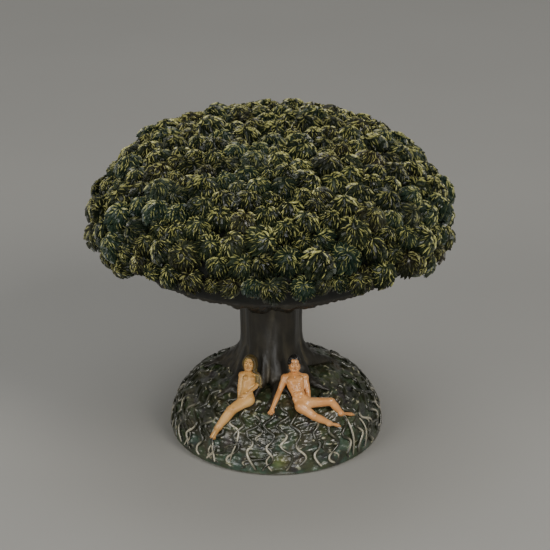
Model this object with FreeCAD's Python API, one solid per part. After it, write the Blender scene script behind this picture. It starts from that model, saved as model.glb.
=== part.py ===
import FreeCAD, Part

"""Clay tree of life: a domed crown of leaf tufts on a fluted trunk, which stands on a rooted mound with a
woman and a man leaning against its foot. Millimetres, +Z up; the origin is on the trunk's axis, at the
underside of the felt pad. -Y is the front."""

import math
import os
import random

V = FreeCAD.Vector
UP = V(0, 0, 1)
FRONT = V(0, -1, 0)
ORIGIN = V(0, 0, 0)

# ---- driving dimensions -------------------------------------------------------------------------------
SEED = 7  # fixes the scatter of tufts and roots

BASE_RADIUS = 69.5
BASE_HEIGHT = 47.0  # the mound's apex above the table
BASE_OFFSET = 3.2  # the mound's middle lies this far to +X of the trunk
BASE_FULLNESS = 2.3  # superellipse exponent: 2 is an ellipse, more is squarer
BASE_WALL = 8.0
COLUMN_RADIUS = 18.0  # solid post inside the hollow mound

PAD_THICKNESS = 1.5
PAD_INSET = 3.0  # the pad stops this far inside the mound's edge

TRUNK_RADIUS = 20.0
TRUNK_TOP = 112.0
TRUNK_LOBES = 5
# height above the mound's apex as a share of the free height, radius as a share, depth of the flutes
TRUNK_SECTIONS = (
    (-0.14, 1.80, 0.115),
    (-0.02, 1.42, 0.110),
    (0.10, 1.12, 0.085),
    (0.24, 1.00, 0.065),
    (0.42, 0.98, 0.060),
    (0.62, 0.99, 0.060),
    (0.82, 1.05, 0.070),
    (1.00, 1.30, 0.085),
)
TENON_RADIUS = 12.0
TENON_LENGTH = 9.0
JOINT_CLEARANCE = 0.2  # round each tenon, spigot and rim lip

BUTTRESS_ANGLES = (-140, -89, -36, 10, 58, 106, 160)  # degrees round the trunk, -90 is the front
BUTTRESS_ROOT = 6.0  # how far inside the trunk's mean radius each one starts
BUTTRESS_REACH = 32.0  # how far it runs out from there
BUTTRESS_RISE = 13.0  # how far it climbs the trunk above the ground
BUTTRESS_THICK = 6.0
BUTTRESS_THIN = 1.8

ROOT_COUNT = 36
ROOT_STARTS = (0.5, 8.0)  # how far out from the trunk's skirt the roots start, by turns
ROOT_THICK = 1.7
ROOT_THIN = 0.8
ROOT_WANDER = 1.8  # sideways swing
ROOT_WAVES = 1.4  # swings to and fro along a root
ROOT_EMBED = 0.25  # share of its radius that a root's centre lies under the ground
ROOT_RIM_HEIGHT = 3.0  # the lowest root ends stop this far above the pad

CROWN_RADIUS = 106.0  # the dome's shell, without its tufts
CROWN_RISE = 51.0  # from the widest ring to the top
CROWN_DROP = 26.0  # half height of the curve that turns in below the widest ring
CROWN_SEAM = TRUNK_TOP + 24.0  # height of the seam between dome and floor
CROWN_WIDEST = CROWN_SEAM + 14.0  # height of the widest ring
CROWN_FULLNESS = 2.25
CROWN_WALL = 6.0
FLOOR_THICKNESS = 6.0
HUB_RADIUS = 30.0
HUB_THICKNESS = 12.0
RIM_LIP = 4.0  # the floor's lip stands this far up inside the dome
RIM_INSET = 2.0  # the floor's edge stays this far inside the dome's

LIMB_COUNT = 9
LIMB_START = 7.5  # radius of a limb where it leaves the trunk
LIMB_END = 2.6
LIMB_ROOT = 6.0  # how far inside the trunk's mean radius a limb starts
LIMB_INSET = 11.0  # its tip stops this far inside the floor's rim
LIMB_DROP = 16.0  # how far below the trunk's top it leaves
LIMB_CLIMB = 0.55  # share of its length over which it climbs to the floor
FORK_START = 0.45  # share of a limb's length where its forks leave
FORK_ANGLE = 12.0  # degrees to each side at the tip

TUFT_SMALL = 5.5  # radii of the smallest and largest tufts
TUFT_LARGE = 9.3
TUFT_GAP = 0.3
TUFT_HEIGHT = 13.0  # above the dome, for a tuft of middle size
TUFT_WAIST = 0.42  # height of a tuft's widest ring, as a share of its own
TUFT_FILL = 0.9  # share of the close-packed number that is scattered
TUFT_LOWEST = 0.58  # the lowest tufts' share of the way from the widest ring to the seam
TUFT_FRONT_LIFT = 0.70  # share of that way by which they stop higher over the figures
TUFT_ROUNDS = 120  # times they are pushed apart
TUFT_ROWS = 11

ROD_RADIUS = 3.0
ROD_CLEARANCE = 0.3
WASHER_RADIUS = 9.0
WASHER_THICKNESS = 1.6
NUT_FLATS = 10.0
NUT_HEIGHT = 5.0
ROD_TAIL = 2.0  # rod past each nut
RECESS_RADIUS = 11.0

PIN_RADIUS = 0.8
PIN_BITE = 5.0  # a pin's length in the clay at each end


# ---- outlines ------------------------------------------------------------------------------------------
def superellipse(t, radius, height, fullness):
    """Point of a superellipse's quarter, from its foot at t = 0 to its apex at a quarter turn."""
    return (
        radius * abs(math.cos(t)) ** (2 / fullness),
        height * abs(math.sin(t)) ** (2 / fullness),
    )


def ground(x, y, lift=0.0):
    """Height of the mound's surface over a point, plus a lift."""
    share = min(1.0, math.hypot(x - BASE_OFFSET, y) / BASE_RADIUS)
    rise = (1 - share**BASE_FULLNESS) ** (1 / BASE_FULLNESS)
    return PAD_THICKNESS + (BASE_HEIGHT - PAD_THICKNESS) * rise + lift


def crown_profile(t):
    """(radius, height) of the dome's outside; t is negative below its widest ring."""
    r, z = superellipse(
        t, CROWN_RADIUS, CROWN_RISE if t >= 0 else CROWN_DROP, CROWN_FULLNESS
    )
    return r, CROWN_WIDEST + math.copysign(z, t)


def crown_angle(r, z):
    """The t of crown_profile for a point near the dome."""
    height = z - CROWN_WIDEST
    half = CROWN_RISE if height >= 0 else CROWN_DROP
    across = max(r / CROWN_RADIUS, 1e-6) ** (CROWN_FULLNESS / 2)
    return math.copysign(
        math.atan2(abs(height / half) ** (CROWN_FULLNESS / 2), across), height
    )


def seam_angle():
    """The t where the dome's outside meets its seam."""
    share = (CROWN_WIDEST - CROWN_SEAM) / CROWN_DROP
    return -math.asin(share ** (CROWN_FULLNESS / 2))


def crown_normal(t, theta, step=1e-3):
    (r0, z0), (r1, z1) = crown_profile(t - step), crown_profile(t + step)
    n = V(z1 - z0, 0, r0 - r1).normalize()
    return V(n.x * math.cos(theta), n.x * math.sin(theta), n.z)


def crown_point(t, theta, lift=0.0):
    """Point of the dome's outside, lifted along its normal."""
    r, z = crown_profile(t)
    at = V(r * math.cos(theta), r * math.sin(theta), z)
    return at + crown_normal(t, theta) * lift if lift else at


def spread(first, last, count):
    return [first + (last - first) * i / (count - 1) for i in range(count)]


# ---- solids --------------------------------------------------------------------------------------------
def revolved(edges, centre=ORIGIN, axis=UP):
    """Solid of revolution of a closed outline in the XZ plane."""
    return Part.Face(Part.Wire(edges)).revolve(centre, axis, 360)


def smooth_edge(points):
    curve = Part.BSplineCurve()
    curve.interpolate(points)
    return curve.toShape()


def polyline(points):
    return [Part.makeLine(a, b) for a, b in zip(points, points[1:])]


def cylinder(radius, bottom, top, x=0.0):
    return Part.makeCylinder(radius, top - bottom, V(x, 0, bottom))


def placed(shape, at, axis):
    """The shape moved from the origin, its Z turned to axis."""
    shape.Placement = FreeCAD.Placement(at, FreeCAD.Rotation(UP, axis))
    return shape


def ellipsoid(at, axis, half_length, radius):
    side = [
        V(radius * math.cos(a), 0, half_length * math.sin(a))
        for a in spread(-math.pi / 2, math.pi / 2, 13)
    ]
    lump = revolved([smooth_edge(side), Part.makeLine(side[-1], side[0])])
    return placed(lump, at, axis)


def capsule(start, end, start_radius, end_radius):
    """A limb's segment: a cone with a round cap on each end."""
    length = (end - start).Length
    a, b, s = start_radius, end_radius, math.sqrt(0.5)
    outline = [
        Part.Arc(V(0, 0, -a), V(a * s, 0, -a * s), V(a, 0, 0)).toShape(),
        Part.makeLine(V(a, 0, 0), V(b, 0, length)),
        Part.Arc(
            V(b, 0, length), V(b * s, 0, length + b * s), V(0, 0, length + b)
        ).toShape(),
        Part.makeLine(V(0, 0, length + b), V(0, 0, -a)),
    ]
    return placed(revolved(outline), start, end - start)


def tube(points, radii):
    """A solid through circles along a path, each square to it, with their seams in line."""
    side, rings = UP, []
    for i, (p, r) in enumerate(zip(points, radii)):
        ahead = (points[min(i + 1, len(points) - 1)] - points[max(i - 1, 0)]).normalize()
        side = (side - ahead * side.dot(ahead)).normalize()
        circle = Part.makeCircle(r)
        circle.Placement = FreeCAD.Placement(p, FreeCAD.Rotation(side, V(), ahead, "ZXY"))
        rings.append(Part.Wire(circle))
    return Part.makeLoft(rings, True, False)


def biggest(shape):
    """The main solid of a cut, without the crumbs."""
    return max(shape.Solids, key=lambda s: s.Volume)


def cut_all(shape, tools):
    """The shape less the tools it may touch; nothing is left of one that lies inside them."""
    for tool in tools:
        if shape.Solids and shape.BoundBox.intersect(tool.BoundBox):
            shape = shape.cut(tool)
    return shape


# ---- base ----------------------------------------------------------------------------------------------
def mound_form(inset):
    """The mound's solid form, or the hollow inside it, which is smaller by the inset."""
    foot = PAD_THICKNESS
    curve = [
        superellipse(
            t, BASE_RADIUS - inset, BASE_HEIGHT - inset - foot, BASE_FULLNESS
        )
        for t in spread(0, math.pi / 2, 13)
    ]
    side = smooth_edge([V(BASE_OFFSET + r, 0, foot + z) for r, z in curve])
    apex = V(BASE_OFFSET, 0, BASE_HEIGHT - inset)
    corner = V(BASE_OFFSET + BASE_RADIUS - inset, 0, foot)
    inner = V(BASE_OFFSET, 0, foot)
    return revolved([side, *polyline([apex, inner, corner])], V(BASE_OFFSET, 0, 0))


def felt_pad():
    return cylinder(BASE_RADIUS - PAD_INSET, 0, PAD_THICKNESS, BASE_OFFSET)


def recess_roof():
    return PAD_THICKNESS + ROD_TAIL + NUT_HEIGHT + WASHER_THICKNESS + ROD_TAIL


def socket_floor():
    """Height where the trunk's tenon ends, in the mound's column."""
    return ground(0, 0) - TENON_LENGTH


def base_mound(outside):
    column = cylinder(COLUMN_RADIUS, PAD_THICKNESS, BASE_HEIGHT - BASE_WALL / 2)
    shell = outside.cut(mound_form(BASE_WALL)).fuse(column)
    socket = cylinder(TENON_RADIUS + JOINT_CLEARANCE, socket_floor(), BASE_HEIGHT + 1)
    bore = cylinder(ROD_RADIUS + ROD_CLEARANCE, 0, BASE_HEIGHT)
    recess = cylinder(RECESS_RADIUS, 0, recess_roof())
    return shell.cut(socket).cut(bore).cut(recess)


# ---- trunk ---------------------------------------------------------------------------------------------
def trunk_radius(share):
    """Mean radius and flute depth at a share of the free height, read off the section table."""
    for (a, ra, da), (b, rb, db) in zip(TRUNK_SECTIONS, TRUNK_SECTIONS[1:]):
        if share <= b:
            k = (share - a) / (b - a)
            return TRUNK_RADIUS * (ra + k * (rb - ra)), da + k * (db - da)
    return TRUNK_RADIUS * TRUNK_SECTIONS[-1][1], TRUNK_SECTIONS[-1][2]


def trunk_section(share, radius_share, flute):
    """A closed wavy ring: ridges either side of the front and round the back."""
    z = BASE_HEIGHT + share * (TRUNK_TOP - BASE_HEIGHT)
    points = []
    for i in range(8 * TRUNK_LOBES):
        a = 2 * math.pi * i / (8 * TRUNK_LOBES)
        wave = -math.cos(TRUNK_LOBES * (a + math.pi / 2))
        ripple = 0.3 * math.sin((TRUNK_LOBES + 3) * a + 3 * share)
        r = TRUNK_RADIUS * radius_share * (1 + flute * (wave + ripple))
        points.append(V(r * math.cos(a), r * math.sin(a), z))
    ring = Part.BSplineCurve()
    ring.interpolate(points, PeriodicFlag=True)
    return Part.Wire(ring.toShape())


def trunk(outside):
    """The fluted column, seated on the mound, with a tenon below and a spigot above."""
    column = Part.makeLoft([trunk_section(*row) for row in TRUNK_SECTIONS], True, False)
    tenon = cylinder(TENON_RADIUS, socket_floor(), BASE_HEIGHT + 2)
    spigot = cylinder(TENON_RADIUS, TRUNK_TOP - 2, TRUNK_TOP + TENON_LENGTH)
    bore = cylinder(ROD_RADIUS + ROD_CLEARANCE, 0, TRUNK_TOP + 2 * TENON_LENGTH)
    return biggest(column.cut(outside).fuse([tenon, spigot]).cut(bore))


def trunk_skirt():
    """Radius that the foot of the trunk stays within, flutes and all."""
    _, share, flute = TRUNK_SECTIONS[0]
    return TRUNK_RADIUS * share * (1 + 1.3 * flute)


def polar(radius, degrees, z):
    a = math.radians(degrees)
    return V(radius * math.cos(a), radius * math.sin(a), z)


def buttresses(outside, stem):
    """Thick coils that run from the trunk's skin down on to the mound."""
    made = []
    for angle in BUTTRESS_ANGLES:
        path, radii = [], []
        for k in spread(0, 1, 6):
            out = TRUNK_RADIUS - BUTTRESS_ROOT + k * BUTTRESS_REACH
            at = polar(out, angle + 5 * math.sin(5 * k + angle), 0)
            on_ground = ground(at.x, at.y, -0.6)
            path.append(V(at.x, at.y, on_ground + BUTTRESS_RISE * (1 - k) ** 2.6))
            radii.append(BUTTRESS_THICK + (BUTTRESS_THIN - BUTTRESS_THICK) * k**0.7)
        made.append(biggest(cut_all(tube(path, radii), [outside, stem])))
    return made


def mound_point(t, theta, lift):
    """Point on the mound's surface, lifted along its normal; t runs from the apex at a quarter turn down."""

    def outline(u):
        r, z = superellipse(u, BASE_RADIUS, BASE_HEIGHT - PAD_THICKNESS, BASE_FULLNESS)
        return V(r, 0, PAD_THICKNESS + z)

    at, ahead = outline(t), outline(t + 1e-3) - outline(t - 1e-3)
    at += V(ahead.z, 0, -ahead.x).normalize() * lift
    return V(BASE_OFFSET + at.x * math.cos(theta), at.x * math.sin(theta), at.z)


def surface_roots(others, chance):
    """Thin coils on the mound, in four quarters, keyed by the way they face."""
    sides = {"right": [], "back": [], "left": [], "front": []}
    rim = math.asin((ROOT_RIM_HEIGHT / (BASE_HEIGHT - PAD_THICKNESS)) ** (BASE_FULLNESS / 2))
    for i in range(ROOT_COUNT):
        angle = math.radians(-45 + 360 * (i + chance.uniform(-0.2, 0.2)) / ROOT_COUNT)
        start_radius = trunk_skirt() + ROOT_STARTS[i % len(ROOT_STARTS)]
        start = math.acos((start_radius / BASE_RADIUS) ** (BASE_FULLNESS / 2))
        end = rim + chance.uniform(0, 0.15)
        phase = chance.uniform(0, 2 * math.pi)
        path, radii = [], []
        for k in spread(0, 1, 9):
            radius = ROOT_THICK + (ROOT_THIN - ROOT_THICK) * k
            swing = ROOT_WANDER * math.sin(phase + 2 * math.pi * ROOT_WAVES * k)
            turn = swing / (start_radius + (BASE_RADIUS - start_radius) * k)
            path.append(mound_point(start + (end - start) * k, angle + turn, -ROOT_EMBED * radius))
            radii.append(radius)
        root = cut_all(tube(path, radii), others)
        side = list(sides)[i * len(sides) // ROOT_COUNT]
        sides[side] += [s for s in root.Solids if s.Volume > ROOT_THIN**3]
    return sides


# ---- crown ---------------------------------------------------------------------------------------------
def crown_dome():
    low = seam_angle()
    outer = [crown_profile(t) for t in spread(low, math.pi / 2, 17)]
    inner = []
    for t in spread(low, math.pi / 2, 17):
        n = crown_normal(min(t, math.pi / 2 - 2e-3), 0)
        r, z = crown_profile(t)
        inner.append((max(0.0, r - CROWN_WALL * n.x), z - CROWN_WALL * n.z))
    inner[0] = (inner[0][0], CROWN_SEAM)
    inner[-1] = (0.0, CROWN_WIDEST + CROWN_RISE - CROWN_WALL)
    out_curve = smooth_edge([V(r, 0, z) for r, z in outer])
    in_curve = smooth_edge([V(r, 0, z) for r, z in inner])
    top = Part.makeLine(V(0, 0, inner[-1][1]), V(0, 0, outer[-1][1]))
    seam = Part.makeLine(V(inner[0][0], 0, CROWN_SEAM), V(outer[0][0], 0, CROWN_SEAM))
    return revolved([out_curve, top, in_curve, seam]), inner[0][0]


def floor_rim():
    """Radius of the floor's edge, a little inside the dome's."""
    return crown_profile(seam_angle())[0] - RIM_INSET


def floor_underside(r):
    """Height of the floor's shallow cone at a radius."""
    k = max(0.0, (r - HUB_RADIUS) / (floor_rim() - HUB_RADIUS))
    return TRUNK_TOP + (CROWN_SEAM - FLOOR_THICKNESS / 2 - TRUNK_TOP) * k


def crown_floor(dome_inner_radius):
    rim = floor_rim()
    lip = dome_inner_radius - JOINT_CLEARANCE
    hub_top = TRUNK_TOP + HUB_THICKNESS
    outline = [
        V(0, 0, TRUNK_TOP),
        V(HUB_RADIUS, 0, TRUNK_TOP),
        V(rim, 0, floor_underside(rim)),
        V(rim, 0, CROWN_SEAM),
        V(lip, 0, CROWN_SEAM),
        V(lip, 0, CROWN_SEAM + RIM_LIP),
        V(lip - CROWN_WALL, 0, CROWN_SEAM + RIM_LIP),
        V(lip - CROWN_WALL, 0, floor_underside(lip - CROWN_WALL) + FLOOR_THICKNESS),
        V(HUB_RADIUS + 2, 0, TRUNK_TOP + FLOOR_THICKNESS),
        V(HUB_RADIUS - 6, 0, hub_top),
        V(0, 0, hub_top),
    ]
    plate = revolved(polyline([*outline, outline[0]]))
    socket = cylinder(TENON_RADIUS + JOINT_CLEARANCE, 0, TRUNK_TOP + TENON_LENGTH)
    bore = cylinder(ROD_RADIUS + ROD_CLEARANCE, 0, hub_top + 1)
    return plate.cut(socket).cut(bore)


def limb_point(k, angle, bend, below):
    """Point of a limb's middle line, k of the way from the trunk's head to its tip under the floor."""
    start = TRUNK_RADIUS - LIMB_ROOT
    out = start + (floor_rim() - LIMB_INSET - start) * k
    low = TRUNK_TOP - LIMB_DROP
    climb = math.sin(math.pi / 2 * min(1.0, k / LIMB_CLIMB))
    at = polar(out, angle + 4 * math.sin(6 * k + bend), 0)
    at.z = low + (floor_underside(out) - below - low) * climb
    return at


def limb_radius(k):
    return LIMB_START + (LIMB_END - LIMB_START) * k**0.8


def limbs(plate, stem):
    """Tapered branches under the floor, from the trunk's head towards the rim, and a fork on each side."""
    stems, forks = [], []
    for i in range(LIMB_COUNT):
        angle = -90 + 360 * (i + 0.5) / LIMB_COUNT
        steps = spread(0, 1, 8)
        path = [limb_point(k, angle, i, 0.35 * limb_radius(k)) for k in steps]
        radii = [limb_radius(k) for k in steps]
        stems.append(biggest(cut_all(tube(path, radii), [plate, stem])))
    for i in range(LIMB_COUNT):
        angle = -90 + 360 * (i + 0.5) / LIMB_COUNT
        for side in (-1, 1):
            path, radii = [], []
            for k in spread(0, 1, 5):
                along = FORK_START + (1 - FORK_START) * k
                radius = limb_radius(along) * (0.8 - 0.15 * k)
                away = angle + side * FORK_ANGLE * k
                path.append(limb_point(along, away, i, 0.35 * radius))
                radii.append(radius)
            forks.append(biggest(cut_all(tube(path, radii), [plate, stems[i]])))
    return stems, forks


# ---- leaf tufts ----------------------------------------------------------------------------------------
def scatter_tufts(chance):
    """Places (t, theta) and radii of the tufts: a golden-angle spiral over the dome, pushed apart."""
    top = math.pi / 2 - 2e-3
    steps = spread(lowest_tuft(math.pi / 2), top, 200)
    areas = [0.0]
    for a, b in zip(steps, steps[1:]):
        p, q = crown_point(a, 0, TUFT_WAIST * TUFT_HEIGHT), crown_point(b, 0, TUFT_WAIST * TUFT_HEIGHT)
        areas.append(areas[-1] + math.pi * (p.x + q.x) * p.distanceToPoint(q))
    radii, covered = [], 0.0
    while covered < TUFT_FILL * areas[-1]:
        r = chance.uniform(TUFT_SMALL, TUFT_LARGE)
        radii.append(r)
        covered += 2 * math.sqrt(3) * (r + TUFT_GAP / 2) ** 2
    golden = math.pi * (3 - math.sqrt(5))
    places, j = [], 0
    for i in range(len(radii)):
        while areas[j + 1] < areas[-1] * (i + 0.5) / len(radii):
            j += 1
        places.append((steps[j], i * golden))
    for _ in range(TUFT_ROUNDS):
        spots = push_apart(places, radii)
        places = []
        for p in spots:
            t, theta = crown_angle(math.hypot(p.x, p.y), p.z), math.atan2(p.y, p.x)
            places.append((min(top, max(lowest_tuft(theta), t)), theta))
    return places, shrink_to_clear(waist_points(places), radii)


def lowest_tuft(theta):
    """The t below which no tuft is set; it rises at the front, over the figures."""
    front = min(1.0, max(0.0, (-math.sin(theta) - 0.35) / 0.35))
    return seam_angle() * (TUFT_LOWEST - TUFT_FRONT_LIFT * front * front * (3 - 2 * front))


def waist_points(places):
    return [crown_point(t, theta, TUFT_WAIST * TUFT_HEIGHT) for t, theta in places]


def close_pairs(spots, radii):
    """Index pairs whose tufts overlap, with their distance and the distance they need."""
    for i, p in enumerate(spots):
        for j in range(i):
            q = spots[j]
            need = radii[i] + radii[j] + TUFT_GAP
            if abs(p.z - q.z) < need and abs(p.x - q.x) < need and abs(p.y - q.y) < need:
                apart = p.distanceToPoint(q)
                if apart < need:
                    yield i, j, apart, need


def push_apart(places, radii):
    """The places' points on the dome, moved half the way out of every overlap."""
    spots = [crown_point(t, theta) for t, theta in places]
    waists = waist_points(places)
    for i, j, apart, need in close_pairs(waists, radii):
        away = (waists[i] - waists[j]) * (0.5 * (need - apart) / max(apart, 1e-6))
        spots[i], spots[j] = spots[i] + away, spots[j] - away
    return spots


def shrink_to_clear(spots, radii):
    """Radii made small enough that every pair keeps its gap."""
    radii = list(radii)
    for i, j, apart, _ in close_pairs(spots, radii):
        over = max(0.0, radii[i] + radii[j] + TUFT_GAP - apart)
        share = radii[i] / (radii[i] + radii[j])
        radii[i] -= over * share
        radii[j] -= over * (1 - share)
    return radii


def tuft(at, normal, radius):
    """A round-topped lump with a flat seat on the dome."""
    middle = (TUFT_SMALL + TUFT_LARGE) / 2
    height = TUFT_HEIGHT * (0.6 + 0.4 * radius / middle)
    waist = TUFT_WAIST * height
    half = height - waist
    seat = radius * math.sqrt(1 - (waist / half) ** 2)
    side = [
        V(radius * math.cos(a), 0, waist + half * math.sin(a))
        for a in spread(-math.asin(waist / half), math.pi / 2, 9)
    ]
    side[0] = V(seat, 0, 0)
    lump = revolved([smooth_edge(side), *polyline([side[-1], ORIGIN, side[0]])])
    return placed(lump, at, normal)


def tuft_rows(chance):
    """The tufts in rows from the rim up, as lists of solids."""
    places, radii = scatter_tufts(chance)
    order = sorted(range(len(places)), key=lambda i: places[i][0])
    rows = [[] for _ in range(TUFT_ROWS)]
    for rank, i in enumerate(order):
        lump = tuft(crown_point(*places[i]), crown_normal(*places[i]), radii[i])
        rows[rank * TUFT_ROWS // len(places)].append(lump)
    return rows


# ---- figures -------------------------------------------------------------------------------------------
# Each joint is (across, out, lift): across to the viewer's right and out from the trunk's skin, both from
# the point where the figure leans on it, and lift above the mound's surface there.
WOMAN = {
    "leans_at": -105,
    "head": (-8.9, 9.0, 17.6),
    "neck": (-9.6, 10.6, 12.8),
    "chest": (-9.6, 14.6, 9.5),
    "waist": (-10.7, 18.6, 6.7),
    "pelvis": (-11.0, 23.2, 4.0),
    "shoulders": ((-14.0, 12.0, 12.4), (-4.4, 11.5, 10.2)),
    "elbows": ((-15.4, 15.6, 7.9), (-3.4, 16.6, 7.2)),
    "hands": ((-15.7, 21.1, 3.6), (-11.4, 23.5, 8.0)),
    "hips": ((-13.1, 23.6, 3.8), (-9.0, 24.0, 3.9)),
    "knees": ((-21.6, 28.4, 5.8), (-19.2, 29.0, 5.0)),
    "ankles": ((-30.6, 31.6, 2.8), (-28.8, 32.4, 2.4)),
    "toes": ((-34.0, 32.3, 1.9), (-32.2, 33.7, 1.6)),
    "head_half": 5.0,
    "head_radius": 4.0,
    "arm": (2.1, 1.7, 1.3),  # radii at the shoulder, elbow and hand
    "leg": (3.6, 2.7, 1.6, 1.2),  # radii at the hip, knee, ankle and toe
    "torso": ((5.9, 4.0), (3.9, 2.9), (5.0, 3.4), (5.2, 2.5), (1.9, 1.8)),  # half widths and depths
}
MAN = {
    "leans_at": -66,
    "head": (6.8, 11.6, 17.8),
    "neck": (6.8, 12.8, 12.8),
    "chest": (7.4, 17.8, 8.9),
    "waist": (9.0, 22.8, 6.0),
    "pelvis": (12.2, 29.6, 4.4),
    "shoulders": ((0.8, 14.0, 8.8), (13.2, 14.0, 10.4)),
    "elbows": ((-2.6, 18.8, 3.8), (15.4, 19.8, 5.6)),
    "hands": ((-7.6, 30.5, 1.6), (15.8, 27.8, 1.6)),
    "hips": ((10.8, 30.4, 4.6), (15.0, 27.6, 5.0)),
    "knees": ((19.4, 34.6, 5.2), (30.4, 21.8, 5.0)),
    "ankles": ((29.8, 32.4, 2.4), (37.4, 23.2, 2.4)),
    "toes": ((35.2, 30.2, 1.8), (44.0, 18.8, 1.7)),
    "head_half": 5.1,
    "head_radius": 4.1,
    "arm": (2.7, 2.1, 1.5),
    "leg": (4.0, 3.0, 1.9, 1.4),
    "torso": ((5.4, 4.1), (4.6, 3.3), (6.6, 4.1), (6.8, 2.9), (2.3, 2.2)),
}


def joints_of(figure):
    """The figure's joints as points, found from where it leans on the trunk."""
    lean = polar(TRUNK_RADIUS, figure["leans_at"], 0)

    def point(across, out, lift):
        x, y = lean.x + across, lean.y - out
        return V(x, y, ground(x, y, lift))

    found = {}
    for name, value in figure.items():
        if isinstance(value, tuple) and isinstance(value[0], tuple) and len(value) == 2:
            found[name] = [point(*v) for v in value]
        elif name in ("head", "neck", "chest", "waist", "pelvis"):
            found[name] = point(*value)
    return found


def oval_ring(at, axis, half_width, half_depth):
    """A flat ellipse square to the spine, its long side across the body."""
    side = axis.cross(FRONT).normalize()
    if side.x < 0:
        side = -side
    ring = Part.Ellipse(at + side * half_width, at + axis.cross(side).normalize() * half_depth, at)
    return Part.Wire(ring.toShape())


def torso(figure, at):
    """Five ovals from the pelvis to the root of the neck."""
    shoulder = (at["shoulders"][0] + at["shoulders"][1]) * 0.5
    spine = [at["pelvis"], at["waist"], at["chest"], shoulder, at["neck"]]
    low = spine[0] + (spine[0] - spine[1]).normalize() * 2.4
    axis = (spine[1] - spine[0]).normalize()
    rings = [oval_ring(low, axis, 0.62 * figure["torso"][0][0], 0.7 * figure["torso"][0][1])]
    for i, p in enumerate(spine):
        ahead = spine[min(i + 1, 4)] - spine[max(i - 1, 0)]
        rings.append(oval_ring(p, ahead.normalize(), *figure["torso"][i]))
    return Part.makeLoft(rings, True, False)


def chain(points, radii):
    """A bent limb of capsules, one from each joint to the next."""
    solid = capsule(points[0], points[1], radii[0], radii[1])
    for i in range(1, len(points) - 1):
        joined = capsule(points[i], points[i + 1], 0.94 * radii[i], radii[i + 1])
        solid = solid.fuse(joined)
    return biggest(solid.removeSplitter())


def head(figure, at):
    neck_end = at["head"] - (at["head"] - at["neck"]).normalize() * 1.5
    neck = capsule(at["neck"], neck_end, 0.5 * figure["head_radius"], 0.45 * figure["head_radius"])
    skull = ellipsoid(at["head"], at["head"] - at["neck"], figure["head_half"], figure["head_radius"])
    return biggest(skull.fuse(neck))


def cropped_hair(figure, at):
    """A close cap over the top and back of the skull."""
    up = (at["head"] - at["neck"]).normalize()
    centre = at["head"] + up * 0.9 - FRONT * 0.9
    return ellipsoid(centre, up, figure["head_half"] + 0.3, figure["head_radius"] + 0.5)


def long_hair(figure, at):
    """A cap, and a fall of hair over the shoulder on the viewer's right."""
    cap = cropped_hair(figure, at)
    right_shoulder, right_elbow = at["shoulders"][1], at["elbows"][1]
    ear = at["head"] + V(2.6, 1.6, -1.0)
    fall = chain(
        [ear, right_shoulder + V(0.6, 1.0, 0.6), right_elbow + V(0.4, 1.6, 0.6)],
        [2.7, 2.6, 1.4],
    )
    return biggest(cap.fuse(fall))


def figure_parts(name, figure, make_hair, solids_behind):
    """The figure's pieces in luting order; each is trimmed where it meets those before it."""
    at = joints_of(figure)
    raw = [("torso", torso(figure, at)), ("head", head(figure, at))]
    for i, side in enumerate(("right", "left")):
        leg = [at[k][i] for k in ("hips", "knees", "ankles", "toes")]
        raw.append((f"{side}_leg", chain(leg, figure["leg"])))
    for i, side in enumerate(("right", "left")):
        arm = [at[k][i] for k in ("shoulders", "elbows", "hands")]
        raw.append((f"{side}_arm", chain(arm, figure["arm"])))
    raw.append(("hair", make_hair(figure, at)))
    done = {}
    for part, solid in raw:
        done[f"{name}_{part}"] = biggest(cut_all(solid, [*solids_behind, *done.values()]))
    return done, at


def pins_of(at):
    """The seat pin down into the mound, and the back pin into the trunk."""
    seat = at["pelvis"]
    depth = seat.z - ground(seat.x, seat.y) + PIN_BITE
    down = Part.makeCylinder(PIN_RADIUS, depth, seat, V(0, 0, -1))
    back = at["chest"]
    inward = V(-back.x, -back.y, 0)
    share = (back.z - BASE_HEIGHT) / (TRUNK_TOP - BASE_HEIGHT)
    length = inward.Length - trunk_radius(share)[0] + PIN_BITE
    return [down, Part.makeCylinder(PIN_RADIUS, length, back, inward)]


# ---- fasteners -----------------------------------------------------------------------------------------
def nut(bottom):
    corner = NUT_FLATS / math.sqrt(3)
    ring = [polar(corner, 60 * i, bottom) for i in range(7)]
    block = Part.Face(Part.makePolygon(ring)).extrude(V(0, 0, NUT_HEIGHT))
    return block.cut(cylinder(ROD_RADIUS, bottom - 1, bottom + NUT_HEIGHT + 1))


def washer(bottom):
    disc = cylinder(WASHER_RADIUS, bottom, bottom + WASHER_THICKNESS)
    hole = cylinder(ROD_RADIUS + ROD_CLEARANCE, bottom - 1, bottom + WASHER_THICKNESS + 1)
    return disc.cut(hole)


def fasteners():
    hub_top = TRUNK_TOP + HUB_THICKNESS
    low_washer = recess_roof() - WASHER_THICKNESS
    low_nut = low_washer - NUT_HEIGHT
    high_nut = hub_top + WASHER_THICKNESS
    rod = cylinder(ROD_RADIUS, low_nut - ROD_TAIL, high_nut + NUT_HEIGHT + ROD_TAIL)
    return {
        "tie_rod": [rod],
        "rod_washers": [washer(low_washer), washer(hub_top)],
        "rod_nuts": [nut(low_nut), nut(high_nut)],
    }


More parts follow.
